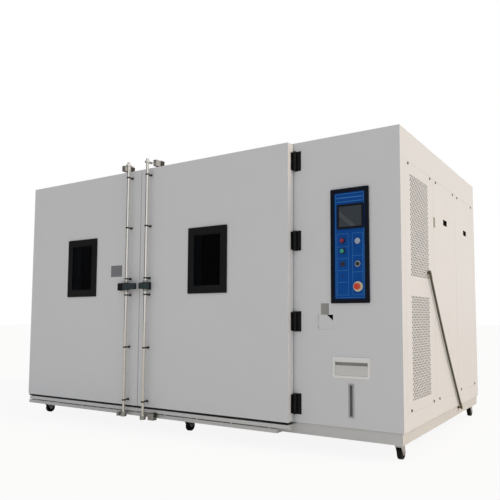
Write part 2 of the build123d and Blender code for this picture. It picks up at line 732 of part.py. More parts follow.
def rod_guides(door):
    """The bored guide blocks of a lock rod, each with its flange and bolt head."""
    guides = []
    x = ROD_X[0] if door == "left" else ROD_X[1]
    for level in GUIDE_LEVELS:
        z0 = level - GUIDE_HEIGHT / 2
        z1 = level + GUIDE_HEIGHT / 2
        guide = block(x - 17, x + 17, ROD_Y, DOOR_FACE, z0, z1)
        guide += rod_z(17, x, ROD_Y, z0, z1)
        guide += block(x - 17, x + 44, DOOR_FACE - 4, DOOR_FACE, z0, z1)
        guide += rod_y(8, x + 32, DOOR_FACE - 12, DOOR_FACE - 4, level)
        guides.append(guide - rod_z(ROD_RADIUS + RUNNING_GAP, x, ROD_Y, z0 - 1, z1 + 1))
    return guides


def handle_rest(door):
    """The moulded rest on the door beside a handle's hub."""
    side = side_sign(door)
    x = ROD_X[0] if door == "left" else ROD_X[1]
    reach = REST_REACH[0] if door == "left" else REST_REACH[1]
    x0, x1 = sorted((x + side * (HUB_RADIUS + 4), x + side * reach))
    half = HANDLE_HEIGHT / 2 - 2
    rest = block(x0, x1, DOOR_FACE - REST_DEPTH, DOOR_FACE, HANDLE_LEVEL - half, HANDLE_LEVEL + half)
    front_edges = rest.edges().filter_by_position(Axis.Y, DOOR_FACE - REST_DEPTH - 0.1, DOOR_FACE - REST_DEPTH + 0.1)
    return chamfer(front_edges, 3)


def door_limits(door):
    """The left and right edges of a door."""
    if door == "left":
        return -WIDTH + DOOR_MARGIN_LEFT, -DOOR_SPLIT - SPLIT_GAP / 2
    return -DOOR_SPLIT + SPLIT_GAP / 2, -DOOR_RIGHT


def window_limits(door, inset):
    """The limits of a door's window frame, drawn in by an inset."""
    centre = WINDOW_CENTRES[0] if door == "left" else WINDOW_CENTRES[1]
    half = WINDOW_WIDTH / 2 - inset
    return centre - half, centre + half, WINDOW_BOTTOM + inset, WINDOW_BOTTOM + WINDOW_HEIGHT - inset


def door_skin(door):
    """A door's closed sheet skin, with a shallow plug on the inside and a lined window opening."""
    x0, x1 = door_limits(door)
    plug = 22
    margin = DOOR_LAND + 8
    step = SEAL_EDGE + GASKET_WIDTH + 4
    p0 = x0 + (margin if door == "left" else step)
    p1 = x1 - (margin if door == "right" else step)
    z0 = CAVITY_FLOOR + 8
    z1 = CAVITY_TOP - 8
    skin = block(x0, x1, DOOR_FACE, -GASKET, DOOR_BOTTOM, DOOR_TOP)
    skin += block(p0, p1, -GASKET, plug, z0, z1)
    w = SHEET
    core = block(x0 + w, x1 - w, DOOR_FACE + w, -GASKET - w, DOOR_BOTTOM + w, DOOR_TOP - w)
    core += block(p0 + w, p1 - w, -GASKET - w, plug - w, z0 + w, z1 - w)
    a0, a1, b0, b1 = window_limits(door, WINDOW_BORDER)
    tunnel = block(a0 - w, a1 + w, DOOR_FACE, plug, b0 - w, b1 + w)
    core -= tunnel
    opening = block(a0, a1, DOOR_FACE - 1, plug + 1, b0, b1)
    return skin - core - opening, core


def door_gasket(door):
    """The seal round a door's inner face, with the sweep along its bottom edge."""
    x0, x1 = door_limits(door)
    z0 = DOOR_BOTTOM + 50
    z1 = DOOR_TOP - SEAL_EDGE
    seal = block(x0 + SEAL_EDGE, x1 - SEAL_EDGE, -GASKET, -FIT_GAP, z0, z1)
    inner = SEAL_EDGE + GASKET_WIDTH
    seal -= block(x0 + inner, x1 - inner, -GASKET - 1, 1, z0 + GASKET_WIDTH, z1 - GASKET_WIDTH)
    sweep = block(x0 + 4, x1 - 4, DOOR_FACE + 6, -14, DOOR_BOTTOM - SWEEP_HEIGHT, DOOR_BOTTOM)
    return [seal, sweep]


def window_frame(door):
    """The black window frame on a door's face, with its four corner bolts."""
    x0, x1, z0, z1 = window_limits(door, 0)
    front = DOOR_FACE - WINDOW_FRAME
    frame = front_plate(x0, x1, z0, z1, front, DOOR_FACE, 6)
    a0, a1, b0, b1 = window_limits(door, WINDOW_BORDER)
    frame -= block(a0, a1, front - 1, DOOR_FACE + 1, b0, b1)
    for x in (x0 + 16, x1 - 16):
        for z in (z0 + 50, z1 - 95):
            frame += rod_y(6, x, front - 3, front, z)
    return frame


def window_glass(door):
    """A window's outer and inner panes."""
    x0, x1, z0, z1 = window_limits(door, WINDOW_BORDER + FIT_GAP)
    outer = block(x0, x1, DOOR_FACE - 4, DOOR_FACE - 4 + PANE, z0, z1)
    inner = block(x0, x1, 12 - PANE, 12, z0, z1)
    return [outer, inner]


def cam(x, level):
    """A cam arm clamped on a lock rod, pointing at the body."""
    z0 = level - CAM_HEIGHT / 2
    z1 = level + CAM_HEIGHT / 2
    arm = rod_z(ROD_RADIUS + 9, x, ROD_Y, z0, z1)
    arm += block(x - CAM_WIDTH / 2, x + CAM_WIDTH / 2, ROD_Y, ROD_Y + CAM_REACH, z0, z1)
    return arm


def lock_rod(door):
    """An upright lock rod with a cam at each end."""
    x = ROD_X[0] if door == "left" else ROD_X[1]
    rod = rod_z(ROD_RADIUS, x, ROD_Y, ROD_BOTTOM, ROD_TOP)
    return rod + cam(x, TOP_CAM) + cam(x, LOW_CAM)


def lock_handle(door):
    """The moulded handle on a lock rod; its arm lies along the door."""
    x = ROD_X[0] if door == "left" else ROD_X[1]
    reach = HANDLE_REACH[0] if door == "left" else -HANDLE_REACH[1]
    z0 = HANDLE_LEVEL - HANDLE_HEIGHT / 2
    z1 = HANDLE_LEVEL + HANDLE_HEIGHT / 2
    x0, x1 = sorted((x, x + reach))
    handle = rod_z(HUB_RADIUS, x, ROD_Y, z0, z1)
    handle += block(x0, x1, ROD_Y - 17, ROD_Y + 9, z0 + 3, z1 - 3)
    upright = handle.edges().filter_by(Axis.Z).filter_by_position(Axis.X, x + reach - 1, x + reach + 1)
    handle = fillet(upright, 7)
    return handle - rod_z(ROD_RADIUS, x, ROD_Y, z0 - 1, z1 + 1)


def lock_keepers():
    """Open-fronted keepers on the roof's edge and on the base channel, one for each cam."""
    keepers = []
    for door, x in zip(("left", "right"), ROD_X):
        side = side_sign(door)
        pin_x = x + side * (CAM_WIDTH / 2 + KEEPER_PIN + 3)
        pin_y = ROD_Y + CAM_REACH - 8
        far = x + side * 140
        near = x - side * 16
        x0, x1 = sorted((near, far))
        a0 = pin_x - KEEPER_PIN
        a1 = pin_x + KEEPER_PIN
        plate_top = HEIGHT + KEEPER_PLATE
        top = block(x0, x1, 0, FRONT_FRAME_DEPTH, HEIGHT, plate_top)
        top += block(a0, a1, pin_y, FRONT_FRAME_DEPTH, HEIGHT, plate_top)
        top += rod_z(KEEPER_PIN, pin_x, pin_y, HEIGHT, TOP_CAM + CAM_HEIGHT)
        b0, b1 = sorted((far - side * 40, far))
        top += block(b0, b1, 0, FRONT_FRAME_DEPTH, plate_top, HEIGHT + 40)
        keepers.append(top)
        z0 = CASTER_HEIGHT
        low = block(x0, x1, -OUTRIGGER_DEPTH - 4, -OUTRIGGER_DEPTH, z0, z0 + OUTRIGGER_HEIGHT)
        low += block(a0, a1, pin_y, -OUTRIGGER_DEPTH, z0, z0 + KEEPER_PLATE)
        low += rod_z(KEEPER_PIN, pin_x, pin_y, z0, LOW_CAM + CAM_HEIGHT / 2)
        keepers.append(low)
    return keepers


def caster_places():
    """The centre of each caster, right to left and front to back."""
    names = ("right", "middle", "left")
    rows = ("front", "rear")
    return [(f"{row}_{name}", x, y) for row, y in zip(rows, CASTER_Y) for name, x in zip(names, CASTER_X)]


def caster_turns(name):
    """Whether a caster swivels; the ones at the middle and the rear have rigid forks."""
    return name in ("front_right", "front_left")


def caster_fork(x, y, top):
    """A pressed fork with its axle, below a given height."""
    crown = 10
    inner = WHEEL_WIDTH / 2 + 2
    outer = inner + FORK_SHEET
    wheel_y = y + FORK_TRAIL
    fork = rod_z(24, x, y, top - crown, top)
    bridge_low = 2 * WHEEL_RADIUS + 3
    fork += block(x - outer, x + outer, y - 20, wheel_y + 14, bridge_low, top - crown)
    for side in (-1, 1):
        x0, x1 = sorted((x + side * inner, x + side * outer))
        cheek = Polyline((y - 16, bridge_low), (wheel_y + 14, bridge_low), (wheel_y + 14, WHEEL_RADIUS - 12),
                         (wheel_y - 14, WHEEL_RADIUS - 12), close=True)
        face = Plane(origin=(x0, 0, 0), x_dir=(0, 1, 0), z_dir=(1, 0, 0))
        fork += extrude(face * make_face(cheek), amount=FORK_SHEET)
    return fork + rod_x(AXLE_RADIUS, x - outer - 4, x + outer + 4, wheel_y, WHEEL_RADIUS)


def caster_wheel(x, y):
    """A caster's wheel with its tread's edges cut back, bored for the axle."""
    half = WHEEL_WIDTH / 2
    wheel = rod_x(WHEEL_RADIUS, x - half, x + half, y + FORK_TRAIL, WHEEL_RADIUS)
    rims = wheel.edges().filter_by(GeomType.CIRCLE)
    wheel = chamfer(rims, 3)
    dish = rod_x(WHEEL_RADIUS - 12, x - half - 1, x + half + 1, y + FORK_TRAIL, WHEEL_RADIUS)
    dish -= rod_x(WHEEL_RADIUS, x - half + 5, x + half - 5, y + FORK_TRAIL, WHEEL_RADIUS)
    dish -= rod_x(11, x - half - 2, x + half + 2, y + FORK_TRAIL, WHEEL_RADIUS)
    bore = rod_x(AXLE_RADIUS + RUNNING_GAP, x - half - 2, x + half + 2, y + FORK_TRAIL, WHEEL_RADIUS)
    return wheel - dish - bore


def caster_mounts():
    """The casters' top plates, with the rigid forks of the ones that don't swivel."""
    mounts = []
    for name, x, y in caster_places():
        plate = block(x - 38, x + 38, y - 42, y + 42, CASTER_HEIGHT - 4, CASTER_HEIGHT)
        if not caster_turns(name):
            plate += caster_fork(x, y, CASTER_HEIGHT - 4)
        mounts.append(plate)
    return mounts


def refrigeration_unit():
    """Two compressors, the condenser and the receiver on the base, and the fan's motor."""
    z0 = BASE_TOP
    pieces = []
    for y in (1250, 1560):
        body = rod_z(105, -380, y, z0 + 24, z0 + 290)
        ends = body.edges().filter_by(GeomType.CIRCLE)
        body = chamfer(ends, 30)
        for dx in (-80, 80):
            for dy in (-80, 80):
                body += rod_z(14, -380 + dx, y + dy, z0, z0 + 40)
        body += block(-480, -280, y - 100, y + 100, z0 + 30, z0 + 36)
        pieces.append(body)
    condenser = block(-150, -90, 160, 560, z0, z0 + 740)
    for row in range(8):
        z = z0 + 60 + row * 85
        condenser += rod_y(6, -120, 130, 160, z)
        condenser += rod_y(6, -120, 560, 590, z)
    pieces.append(condenser)
    receiver = rod_z(60, -560, 1000, z0, z0 + 340)
    pieces.append(chamfer(receiver.edges().filter_by_position(Axis.Z, z0 + 339, z0 + 341), 20))
    motor = block(CHAMBER_RIGHT, FAN_MOTOR, FAN_Y - 60, FAN_Y + 60, FAN_LEVEL - 60, FAN_LEVEL + 60)
    pieces.append(motor - rod_x(SHAFT_RADIUS + RUNNING_GAP, CHAMBER_RIGHT - 1, FAN_MOTOR + 1, FAN_Y, FAN_LEVEL))
    return pieces


def electrical_panel():
    """The mounting plate for the electrical gear, on the dividing wall's side, with its contactors."""
    x0 = CHAMBER_RIGHT + SHEET * 3 + POST
    y0 = 200
    plate = block(x0, x0 + 3, y0, y0 + 500, 1050, 1800)
    for row in range(3):
        for i in range(4):
            y = y0 + 60 + i * 100
            z = 1140 + row * 210
            plate += block(x0 + 3, x0 + 80, y, y + 60, z, z + 90)
    plate += block(CHAMBER_RIGHT, x0, y0 + 40, y0 + 90, 1080, 1770)
    plate += block(CHAMBER_RIGHT, x0, y0 + 410, y0 + 460, 1080, 1770)
    return plate


def water_tank():
    """The closed water tank behind the level window, standing on the base."""
    tank = block(-500, -180, 60, 420, BASE_TOP, 440)
    uprights = tank.edges().filter_by(Axis.Z)
    tank = fillet(uprights, 20)
    return tank + rod_z(30, -250, 240, 440, 450)


def elbow(foot, mouth_at, mouth_out, reach):
    """An elbow fitting: a hexagon nut on the face and a bent tube that takes the cable."""
    x, y, z = foot
    radius = CABLE_DIAMETER / 2 + 5
    nut_face = Plane(origin=foot, x_dir=(0, 1, 0), z_dir=(1, 0, 0))
    nut = extrude(nut_face * RegularPolygon(radius + 5, 6), amount=8)
    corner = Vector(*mouth_at) - Vector(*mouth_out) * reach
    knee = rod_x(radius, x, corner.X, y, z)
    ball = Pos(corner) * Sphere(radius)
    start = Plane(origin=corner, z_dir=mouth_out)
    arm = extrude(start * Circle(radius), amount=reach)
    return nut + knee + ball + arm


def cable_line():
    """The cable's path between its two elbow fittings."""
    points = [Vector(*CABLE_TOP), Vector(*CABLE_MIDDLE), Vector(*CABLE_END)]
    first = points[1] - points[0]
    second = points[2] - points[1]
    turn = radians(first.get_angle(second))
    run = min(first.length, second.length)
    radius = 0.45 * run / tan(turn / 2)
    print("cable turn", round(turn * 180 / pi, 2), "radius", round(radius))
    return FilletPolyline(*points, radius=[radius]), first.normalized(), second.normalized()


def side_cable_and_fittings():
    """The lead along the right side, and the two elbows that hold its ends."""
    line, first, second = cable_line()
    start = Plane(origin=line @ 0, z_dir=first)
    cable = sweep(start * Circle(CABLE_DIAMETER / 2), path=line)
    print("cable length", round(line.length, 1), "volume ratio",
          round(cable.volume / (line.length * pi * (CABLE_DIAMETER / 2) ** 2), 4))
    reach = 34
    top_corner = Vector(*CABLE_TOP) - first * reach
    top = elbow((0, top_corner.Y, top_corner.Z), CABLE_TOP, first, reach)
    low_corner = Vector(*CABLE_END) + second * reach
    foot = (-BASE_INSET_SIDE, low_corner.Y, low_corner.Z)
    low = elbow(foot, CABLE_END, -second, reach)
    return cable, [top, low]


def write_door(door):
    """Writes the nodes of one door and its lock."""
    skin, core = door_skin(door)
    save(f"{door}_door_skin", skin)
    save(f"{door}_door_core", core)
    save(f"{door}_door_gasket", *door_gasket(door))
    save(f"{door}_window_frame", window_frame(door))
    save(f"{door}_window_glass", *window_glass(door))
    save(f"{door}_door_fittings", *door_hinge_leaves(door), *rod_guides(door), handle_rest(door))
    save(f"{door}_lock_rod", lock_rod(door))
    save(f"{door}_lock_handle", lock_handle(door))


def write_casters():
    """Writes the casters' plates, forks and wheels."""
    save("caster_mounts", *caster_mounts())
    for name, x, y in caster_places():
        if caster_turns(name):
            save(f"caster_fork_{name}", caster_fork(x, y, CASTER_HEIGHT - 4 - FIT_GAP))
        save(f"caster_wheel_{name}", caster_wheel(x, y))


def write_controls():
    """Writes the control panel and everything on it."""
    save("control_bezel", control_bezel())
    save("control_plate", control_plate())
    save("touch_screen", touch_screen())
    save("switch_collars", *switch_collars())
    save("red_button", push_button(LEFT_COLUMN, RED_LEVEL, BUTTON_RADIUS, 4, 8))
    save("green_button", push_button(LEFT_COLUMN, GREEN_LEVEL, BUTTON_RADIUS, 4, 8))
    save("key_switch", turning_switch(KEY_LEVEL, True))
    save("selector_switch", turning_switch(SELECTOR_LEVEL, False))
    save("emergency_stop", emergency_stop())


def main():
    os.makedirs("parts", exist_ok=True)
    save("base_frame", base_frame())
    save("door_sill", door_sill())
    save("chamber_shell", chamber_shell())
    save("chamber_insulation", *chamber_insulation())
    save("chamber_liner", chamber_liner())
    save("front_frame", front_frame())
    save("air_plenum", air_plenum())
    save("circulation_fan", circulation_fan())
    save("machine_casing", machine_casing())
    save("side_panel_vented", side_panel_vented())
    save("side_panels_plain", *side_panels_plain())
    save("panel_grips", *panel_grips())
    save("panel_screws", *panel_screws())
    save("front_panel", front_panel())
    save("back_panel", back_panel())
    save("service_flap", service_flap())
    save("drawer_frame", drawer_frame())
    save("fill_drawer", fill_drawer())
    save("level_window", level_window())
    save("hinge_fixed_leaves", *hinge_fixed_leaves())
    save("lock_keepers", *lock_keepers())
    save("refrigeration_unit", *refrigeration_unit())
    save("electrical_panel", electrical_panel())
    save("water_tank", water_tank())
    cable, fittings = side_cable_and_fittings()
    save("side_cable", cable)
    save("cable_fittings", *fittings)
    write_controls()
    write_door("left")
    write_door("right")
    write_casters()


main()
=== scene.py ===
import math

import bmesh
import bpy
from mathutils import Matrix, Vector


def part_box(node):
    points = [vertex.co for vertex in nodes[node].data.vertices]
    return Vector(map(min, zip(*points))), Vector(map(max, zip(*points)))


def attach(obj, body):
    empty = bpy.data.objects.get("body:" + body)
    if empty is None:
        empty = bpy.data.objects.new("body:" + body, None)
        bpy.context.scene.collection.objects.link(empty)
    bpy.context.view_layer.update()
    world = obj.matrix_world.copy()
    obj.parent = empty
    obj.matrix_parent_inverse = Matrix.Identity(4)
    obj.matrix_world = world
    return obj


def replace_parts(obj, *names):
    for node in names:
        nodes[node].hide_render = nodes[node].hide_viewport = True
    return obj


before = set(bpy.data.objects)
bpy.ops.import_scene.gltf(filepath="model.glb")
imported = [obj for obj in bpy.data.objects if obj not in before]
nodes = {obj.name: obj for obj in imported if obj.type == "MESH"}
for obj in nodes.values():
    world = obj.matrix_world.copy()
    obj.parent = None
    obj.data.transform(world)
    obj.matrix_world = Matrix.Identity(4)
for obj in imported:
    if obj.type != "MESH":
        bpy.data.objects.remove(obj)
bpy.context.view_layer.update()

# Planes that the rest is measured from: the machine's right face, the body's front and the doors' front,
# which is also given in millimetres from the body's front
casing_low, casing_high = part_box("machine_casing")
RIGHT_FACE = casing_high.x
FRONT_PLANE = casing_low.y
DOOR_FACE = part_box("right_door_skin")[0].y
DOOR_LEVEL = (DOOR_FACE - FRONT_PLANE) * 1000

# Camera: its place in metres, its turn and tilt in degrees and its lens in millimetres
CAMERA_PLACE = (2.8030, -4.0118, 0.8371)
CAMERA_TURN = 31.167
CAMERA_TILT = 4.401
LENS = 40.153
SHIFT = (-0.0715, 0.0493)
CLIP_END = 200

# Studio: the light from all round, the weaker light that shining surfaces see on the left, the sun in
# degrees across, and the floor in metres
WHITE = (1, 1, 1, 1)
SKY = (0.95, 0.98, 1.02, 1)
AMBIENT = 0.51
DIM_SIDE = 0.06
DIM_STARTS = -0.15
DIM_ENDS = -0.6
SUN_COLOUR = (1.0, 0.78, 0.56)
SUN_ENERGY = 1.5
SUN_FROM = (1.0, 0.12, 0.75)
SUN_WIDTH = 12
FLOOR_HALF = 60
FLOOR_GREY = (0.86, 0.86, 0.86)
FLOOR_GLOW = 0.90

# Lead on the right side: its route as places in millimetres and its diameter in metres
LEAD_ROUTE = ((14, 510, 1136), (14, 850, 626), (12, 1264, 152))
LEAD_DIAMETER = 0.016

# Lead fittings: the face that each sits on in millimetres, and their turned forms in metres
FITTING_FACES = (0, -11)
STUB_RADIUS = 0.008
NUT_RADIUS = 0.0125
NUT_HEIGHT = 0.005
SLEEVE_START = 0.013
SLEEVE_PROFILE = ((0, 0.005), (0.004, 0.0095), (0.022, 0.0105), (0.024, 0.0095), (0.060, 0.0095))

# Side panel in millimetres: front and back, bottom and top, and its two fields of holes as all four
PANEL_Y = (73, 661)
PANEL_Z = (271, 1799)
FIELDS = ((166, 552, 1092, 1742), (166, 552, 335, 978))
HOLE_PITCH = 29
ROW_PITCH = 15.5
HOLE_RADIUS = 7.7
HOLE_SIDES = 10
MAT_OVERLAP = 8
MAT_DEPTHS = (-9, -4)

# Control panel in millimetres: left, right, bottom and top of the plate and of what is printed on it
PLATE_BOX = (-432, -226, 951, 1616)
LEFT_BOX_X = (-415, -338)
LEFT_BOXES = ((1276, 1357), (1201, 1276), (1128, 1201), (1054, 1128), (976, 1054))
RIGHT_BOX_X = (-310, -243)
RIGHT_BOXES = ((1217, 1357), (1116, 1217), (976, 1116))
BOX_LINE = 2.4
BORDER_LINE = 3.0
BORDER_INSET = 8
STRIPE_INSET = 14
STRIPES = ((1580, 1586), (1556, 1560))
DISPLAY_BOX = (-398, -246, 1399, 1527)
DARK_COLLARS_END = -330
STOP_COLLAR_TOP = 1080
PORT = (-377, 1168)
PORT_HALF = 15
PORT_SOCKET = (-5, 7, -3, 3)
LAMP_DOT = (-377, 1098)

# Other painted places in millimetres: left, right, bottom and top
FLAP_POCKET = (-556, -448, 762, 856)
LEVEL_SLOT = (-341, -316, 238, 431)
LEVEL_TUBE = (-333, -324, 243, 426)

# Hinges in millimetres: each leaf and the web to its knuckle, measured from the pin
HINGE_X = {"left": -3391, "right": -716}
HINGE_Y = -16
HINGE_TOPS = (1930, 1402, 878, 354)
HINGE_HEIGHT = 130
LEAF_X = (12, 16)
LEAF_Y = (-24, 8)
LEAF_END = 6
WEB_X = (8, 16)
WEB_HALF = 6

# Lock rods in millimetres: their guides, each a ring, an arm, a foot and a bolt, and the rests by the handles
ROD_X = {"left": -2153, "right": -1953}
ROD_Y = -114
GUIDE_LEVELS = (219, 614, 1010, 1134, 1529, 1923)
RING_BELOW = 6
ARM_HALF = 7
ARM_HALF_HEIGHT = 4
FOOT_X = (-10, 14)
FOOT_HALF_HEIGHT = 8
FOOT_THICKNESS = 4
BOLT_X = {"left": 3, "right": -3}
REST_REACH = {"left": (30, 110), "right": (6, 20)}
REST_Z = (1046, 1104)
REST_DEPTH = 30

# Collars of the lock rods: each one's level in millimetres and height in metres
FOOT_COLLARS = {"left": (97, 0.030), "right": (90, 0.030)}
HANDLE_COLLARS = ((1101.5, 0.016), (1032, 0.0165))

# Keepers in millimetres: left, right, front, back, bottom and top
KEEPERS = (
    (-2262, -2224, -84, 14, 1994, 2038),
    (-1936, -1904, -72, 14, 1994, 2042),
    (-2222, -2196, -122, -74, 96, 124),
    (-1908, -1852, -112, -74, 90, 139),
)
KEEPER_PADS = (
    (-2265, -2221, -26, 15, 1992, 2041),
    (-1939, -1901, -26, 15, 1992, 2043.5),
    (-1880, -1849, -108, -75, 112, 142),
)

# Drawer's frame and bare plates: two opposite corners in millimetres
DRAWER_STRIP = ((-434.6, -4, 565), (-217.4, 1, 581.5))
DRAWER_SLOT_BACK = ((-434.6, 4, 547), (-217.4, 6, 566))
DOOR_PLATE = ((-2370, 0, 1157), (-2247, 0, 1246))
FRONT_PLATE = ((-533, 0, 857), (-477, 0, 926))
SIDE_PLATE = ((0, 665, 1461), (0, 700, 1532))

# Radii, thicknesses and depths in metres
KNUCKLE_RADIUS = 0.0115
FOOT_COLLAR_RADIUS = 0.022
HANDLE_COLLAR_RADIUS = 0.017
# The span of each rod's painted dark reflection, measured from its middle
ROD_REFLECTION_SPAN = (-0.0115, -0.0045)
PLATE_THICKNESS = 0.0012
PANEL_PROUD = 0.006
POCKET_FRONT = 0.004
PORT_THICKNESS = 0.002
SOCKET_PROUD = 0.004
SOCKET_GAP = 0.0001
LAMP_PROFILE = ((0, 0.005), (0.002, 0.005), (0.003, 0.0035))

# Sides of the turned forms
HEXAGON = 6
SMALL_ROUND = 20
ROUND = 24
BARREL_ROUND = 16


def at(x, y, z):
    """A place given in millimetres from the right face, the front plane and the floor."""
    return Vector((RIGHT_FACE + x / 1000, FRONT_PLANE + y / 1000, z / 1000))


class Value:
    """A number that varies over a surface; arithmetic on it adds Math nodes."""

    def __init__(self, shading, socket):
        self.shading = shading
        self.socket = socket

    def math(self, operation, *terms):
        node = self.shading.node("ShaderNodeMath", {"operation": operation}, dict(enumerate(terms)))
        return Value(self.shading, node.outputs[0])

    def __add__(self, other):
        return self.math("ADD", self, other)

    def __sub__(self, other):
        return self.math("SUBTRACT", self, other)

    def __rsub__(self, other):
        return self.math("SUBTRACT", other, self)

    def __mul__(self, other):
        return self.math("MULTIPLY", self, other)

    def __gt__(self, other):
        return self.math("GREATER_THAN", self, other)

    def __lt__(self, other):
        return self.math("LESS_THAN", self, other)

    __radd__ = __add__
    __rmul__ = __mul__

    def either(self, other):
        return self.math("MAXIMUM", self, other)

    def clamped(self):
        return self.math("MINIMUM", self.math("MAXIMUM", self, 0.0), 1.0)


class Shading:
    """A tree of shader nodes, and the one way in which nodes are added to it."""

    def __init__(self, tree):
        self.tree = tree

    def node(self, kind, settings=None, inputs=None):
        made = self.tree.nodes.new(kind)
        for name, setting in (settings or {}).items():
            setattr(made, name, setting)
        for key, value in (inputs or {}).items():
            self.feed(made.inputs[key], value)
        return made

    def feed(self, socket, value):
        if isinstance(value, Value):
            value = value.socket
        if isinstance(value, bpy.types.NodeSocket):
            self.tree.links.new(value, socket)
        else:
            socket.default_value = value

    def blended(self, factor, under, over):
        """One shader over another, by a factor."""
        return self.node("ShaderNodeMixShader", inputs={0: factor, 1: under, 2: over}).outputs[0]


class Finish(Shading):
    """One material: a Principled shader with the nodes that vary it."""

    def __init__(self, name, colour, roughness, metallic=0.0, **constants):
        self.material = bpy.data.materials.new(name)
        self.material.use_nodes = True
        super().__init__(self.material.node_tree)
        self.shader = self.tree.nodes["Principled BSDF"]
        self.shader.inputs["Base Color"].default_value = (*colour, 1)
        self.shader.inputs["Roughness"].default_value = roughness
        self.shader.inputs["Metallic"].default_value = metallic
        for label, amount in constants.items():
            self.shader.inputs[label.replace("_", " ")].default_value = amount
        self.place = self.node("ShaderNodeTexCoord").outputs["Object"]
        parts = self.node("ShaderNodeSeparateXYZ", inputs={0: self.place})
        self.x, self.y, self.z = (Value(self, parts.outputs[i]) for i in range(3))

    def noise(self, scale, detail, stretch=(1, 1, 1)):
        """Soft noise from 0 to 1, drawn out by a stretch along each axis."""
        place = self.node("ShaderNodeVectorMath", {"operation": "MULTIPLY"}, {0: self.place, 1: stretch})
        sockets = {"Vector": place.outputs[0], "Scale": scale, "Detail": detail}
        return Value(self, self.node("ShaderNodeTexNoise", inputs=sockets).outputs["Fac"])

    def mixed(self, factor, under, over):
        """One colour over another, by a factor."""
        made = self.node("ShaderNodeMix", {"data_type": "RGBA"}, {"Factor": factor})
        sockets = [socket for socket in made.inputs if socket.type == "RGBA"]
        for socket, colour in zip(sockets, (under, over)):
            self.feed(socket, (*colour, 1) if isinstance(colour, tuple) else colour)
        return next(socket for socket in made.outputs if socket.type == "RGBA")

    def within(self, x0, x1, z0, z1):
        """One inside an upright rectangle given in millimetres, and nought outside it."""
        low = at(x0, 0, z0)
        high = at(x1, 0, z1)
        return (self.x > low.x) * (self.x < high.x) * (self.z > low.z) * (self.z < high.z)

    def drawn_box(self, x0, x1, z0, z1, line):
        """The outline of a rectangle, as wide as the line."""
        half = line / 2
        outer = self.within(x0 - half, x1 + half, z0 - half, z1 + half)
        inner = self.within(x0 + half, x1 - half, z0 + half, z1 - half)
        return outer - inner

    def bump(self, height, strength, distance):
        sockets = {"Height": height, "Strength": strength, "Distance": distance}
        self.feed(self.shader.inputs["Normal"], self.node("ShaderNodeBump", inputs=sockets).outputs[0])

    def paint(self, colour):
        self.feed(self.shader.inputs["Base Color"], colour)

    def gloss(self, roughness):
        self.feed(self.shader.inputs["Roughness"], roughness)


def tone(colour, amount):
    """A colour made lighter or darker by a factor."""
    return tuple(min(1.0, part * amount) for part in colour)


def powder_coat(name, colour, roughness=0.42):
    """Semi-gloss powder coat: faint cloudiness, orange peel and dust that gathers low down."""
    finish = Finish(name, colour, roughness, Specular_IOR_Level=0.2)
    cloud = finish.noise(1.7, 2.0)
    dust = (finish.noise(9.0, 6.0) * (1.0 - finish.z * 0.9)).clamped() * 0.30
    base = finish.mixed(cloud, tone(colour, 0.985), tone(colour, 1.015))
    finish.paint(finish.mixed(dust, base, tone(colour, 0.86)))
    finish.gloss(finish.noise(40.0, 2.0) * 0.10 + (roughness - 0.05))
    finish.bump(finish.noise(420.0, 1.0), 0.05, 0.0006)
    return finish


def brushed(name, colour, roughness, stretch):
    """Brushed stainless steel with its grain along one axis."""
    finish = Finish(name, colour, roughness, 1.0)
    grain = finish.noise(900.0, 2.0, stretch)
    finish.paint(finish.mixed(grain, tone(colour, 0.88), tone(colour, 1.06)))
    finish.gloss(grain * 0.16 + (roughness - 0.08))
    finish.bump(grain, 0.08, 0.0002)
    return finish


def blotchy_metal(name, colour, roughness):
    """Plated or cast metal with a blotchy sheen."""
    finish = Finish(name, colour, roughness, 1.0)
    blotch = finish.noise(60.0, 4.0)
    finish.paint(finish.mixed(blotch, tone(colour, 0.8), tone(colour, 1.1)))
    finish.gloss(blotch * 0.2 + (roughness - 0.1))
    return finish


def dark_grained(name, colour, roughness):
    """Dark plastic, rubber, fibre, coat or enamel with a fine grain."""
    finish = Finish(name, colour, roughness, Specular_IOR_Level=0.12)
    speck = finish.noise(260.0, 3.0)
    finish.paint(finish.mixed(speck, tone(colour, 0.75), tone(colour, 1.35)))
    finish.gloss(speck * 0.2 + (roughness - 0.1))
    finish.bump(speck, 0.12, 0.0005)
    return finish


def plastic(name, colour, roughness, variation=0.08):
    """Smooth coloured plastic with slight unevenness."""
    finish = Finish(name, colour, roughness)
    uneven = finish.noise(50.0, 3.0)
    finish.paint(finish.mixed(uneven, tone(colour, 1 - variation), tone(colour, 1 + variation)))
    finish.gloss(uneven * 0.12 + (roughness - 0.06))
    return finish


def rigid_foam():
    """Cut rigid foam: pale yellow with open cells."""
    colour = (0.80, 0.70, 0.46)
    finish = Finish("rigid_foam", colour, 0.9)
    cell = finish.node("ShaderNodeTexVoronoi", inputs={"Vector": finish.place, "Scale": 300.0})
    cells = Value(finish, cell.outputs["Distance"])
    finish.paint(finish.mixed(cells, tone(colour, 0.8), tone(colour, 1.1)))
    finish.bump(cells, 0.3, 0.001)
    return finish


def window_pane():
    """Tinted double-glazing pane."""
    tint = (0.08, 0.09, 0.11)
    finish = Finish("window_pane", tint, 0.04, Transmission_Weight=1.0, IOR=1.2, Specular_IOR_Level=0.2)
    finish.gloss(finish.noise(14.0, 3.0) * 0.04 + 0.02)
    return finish


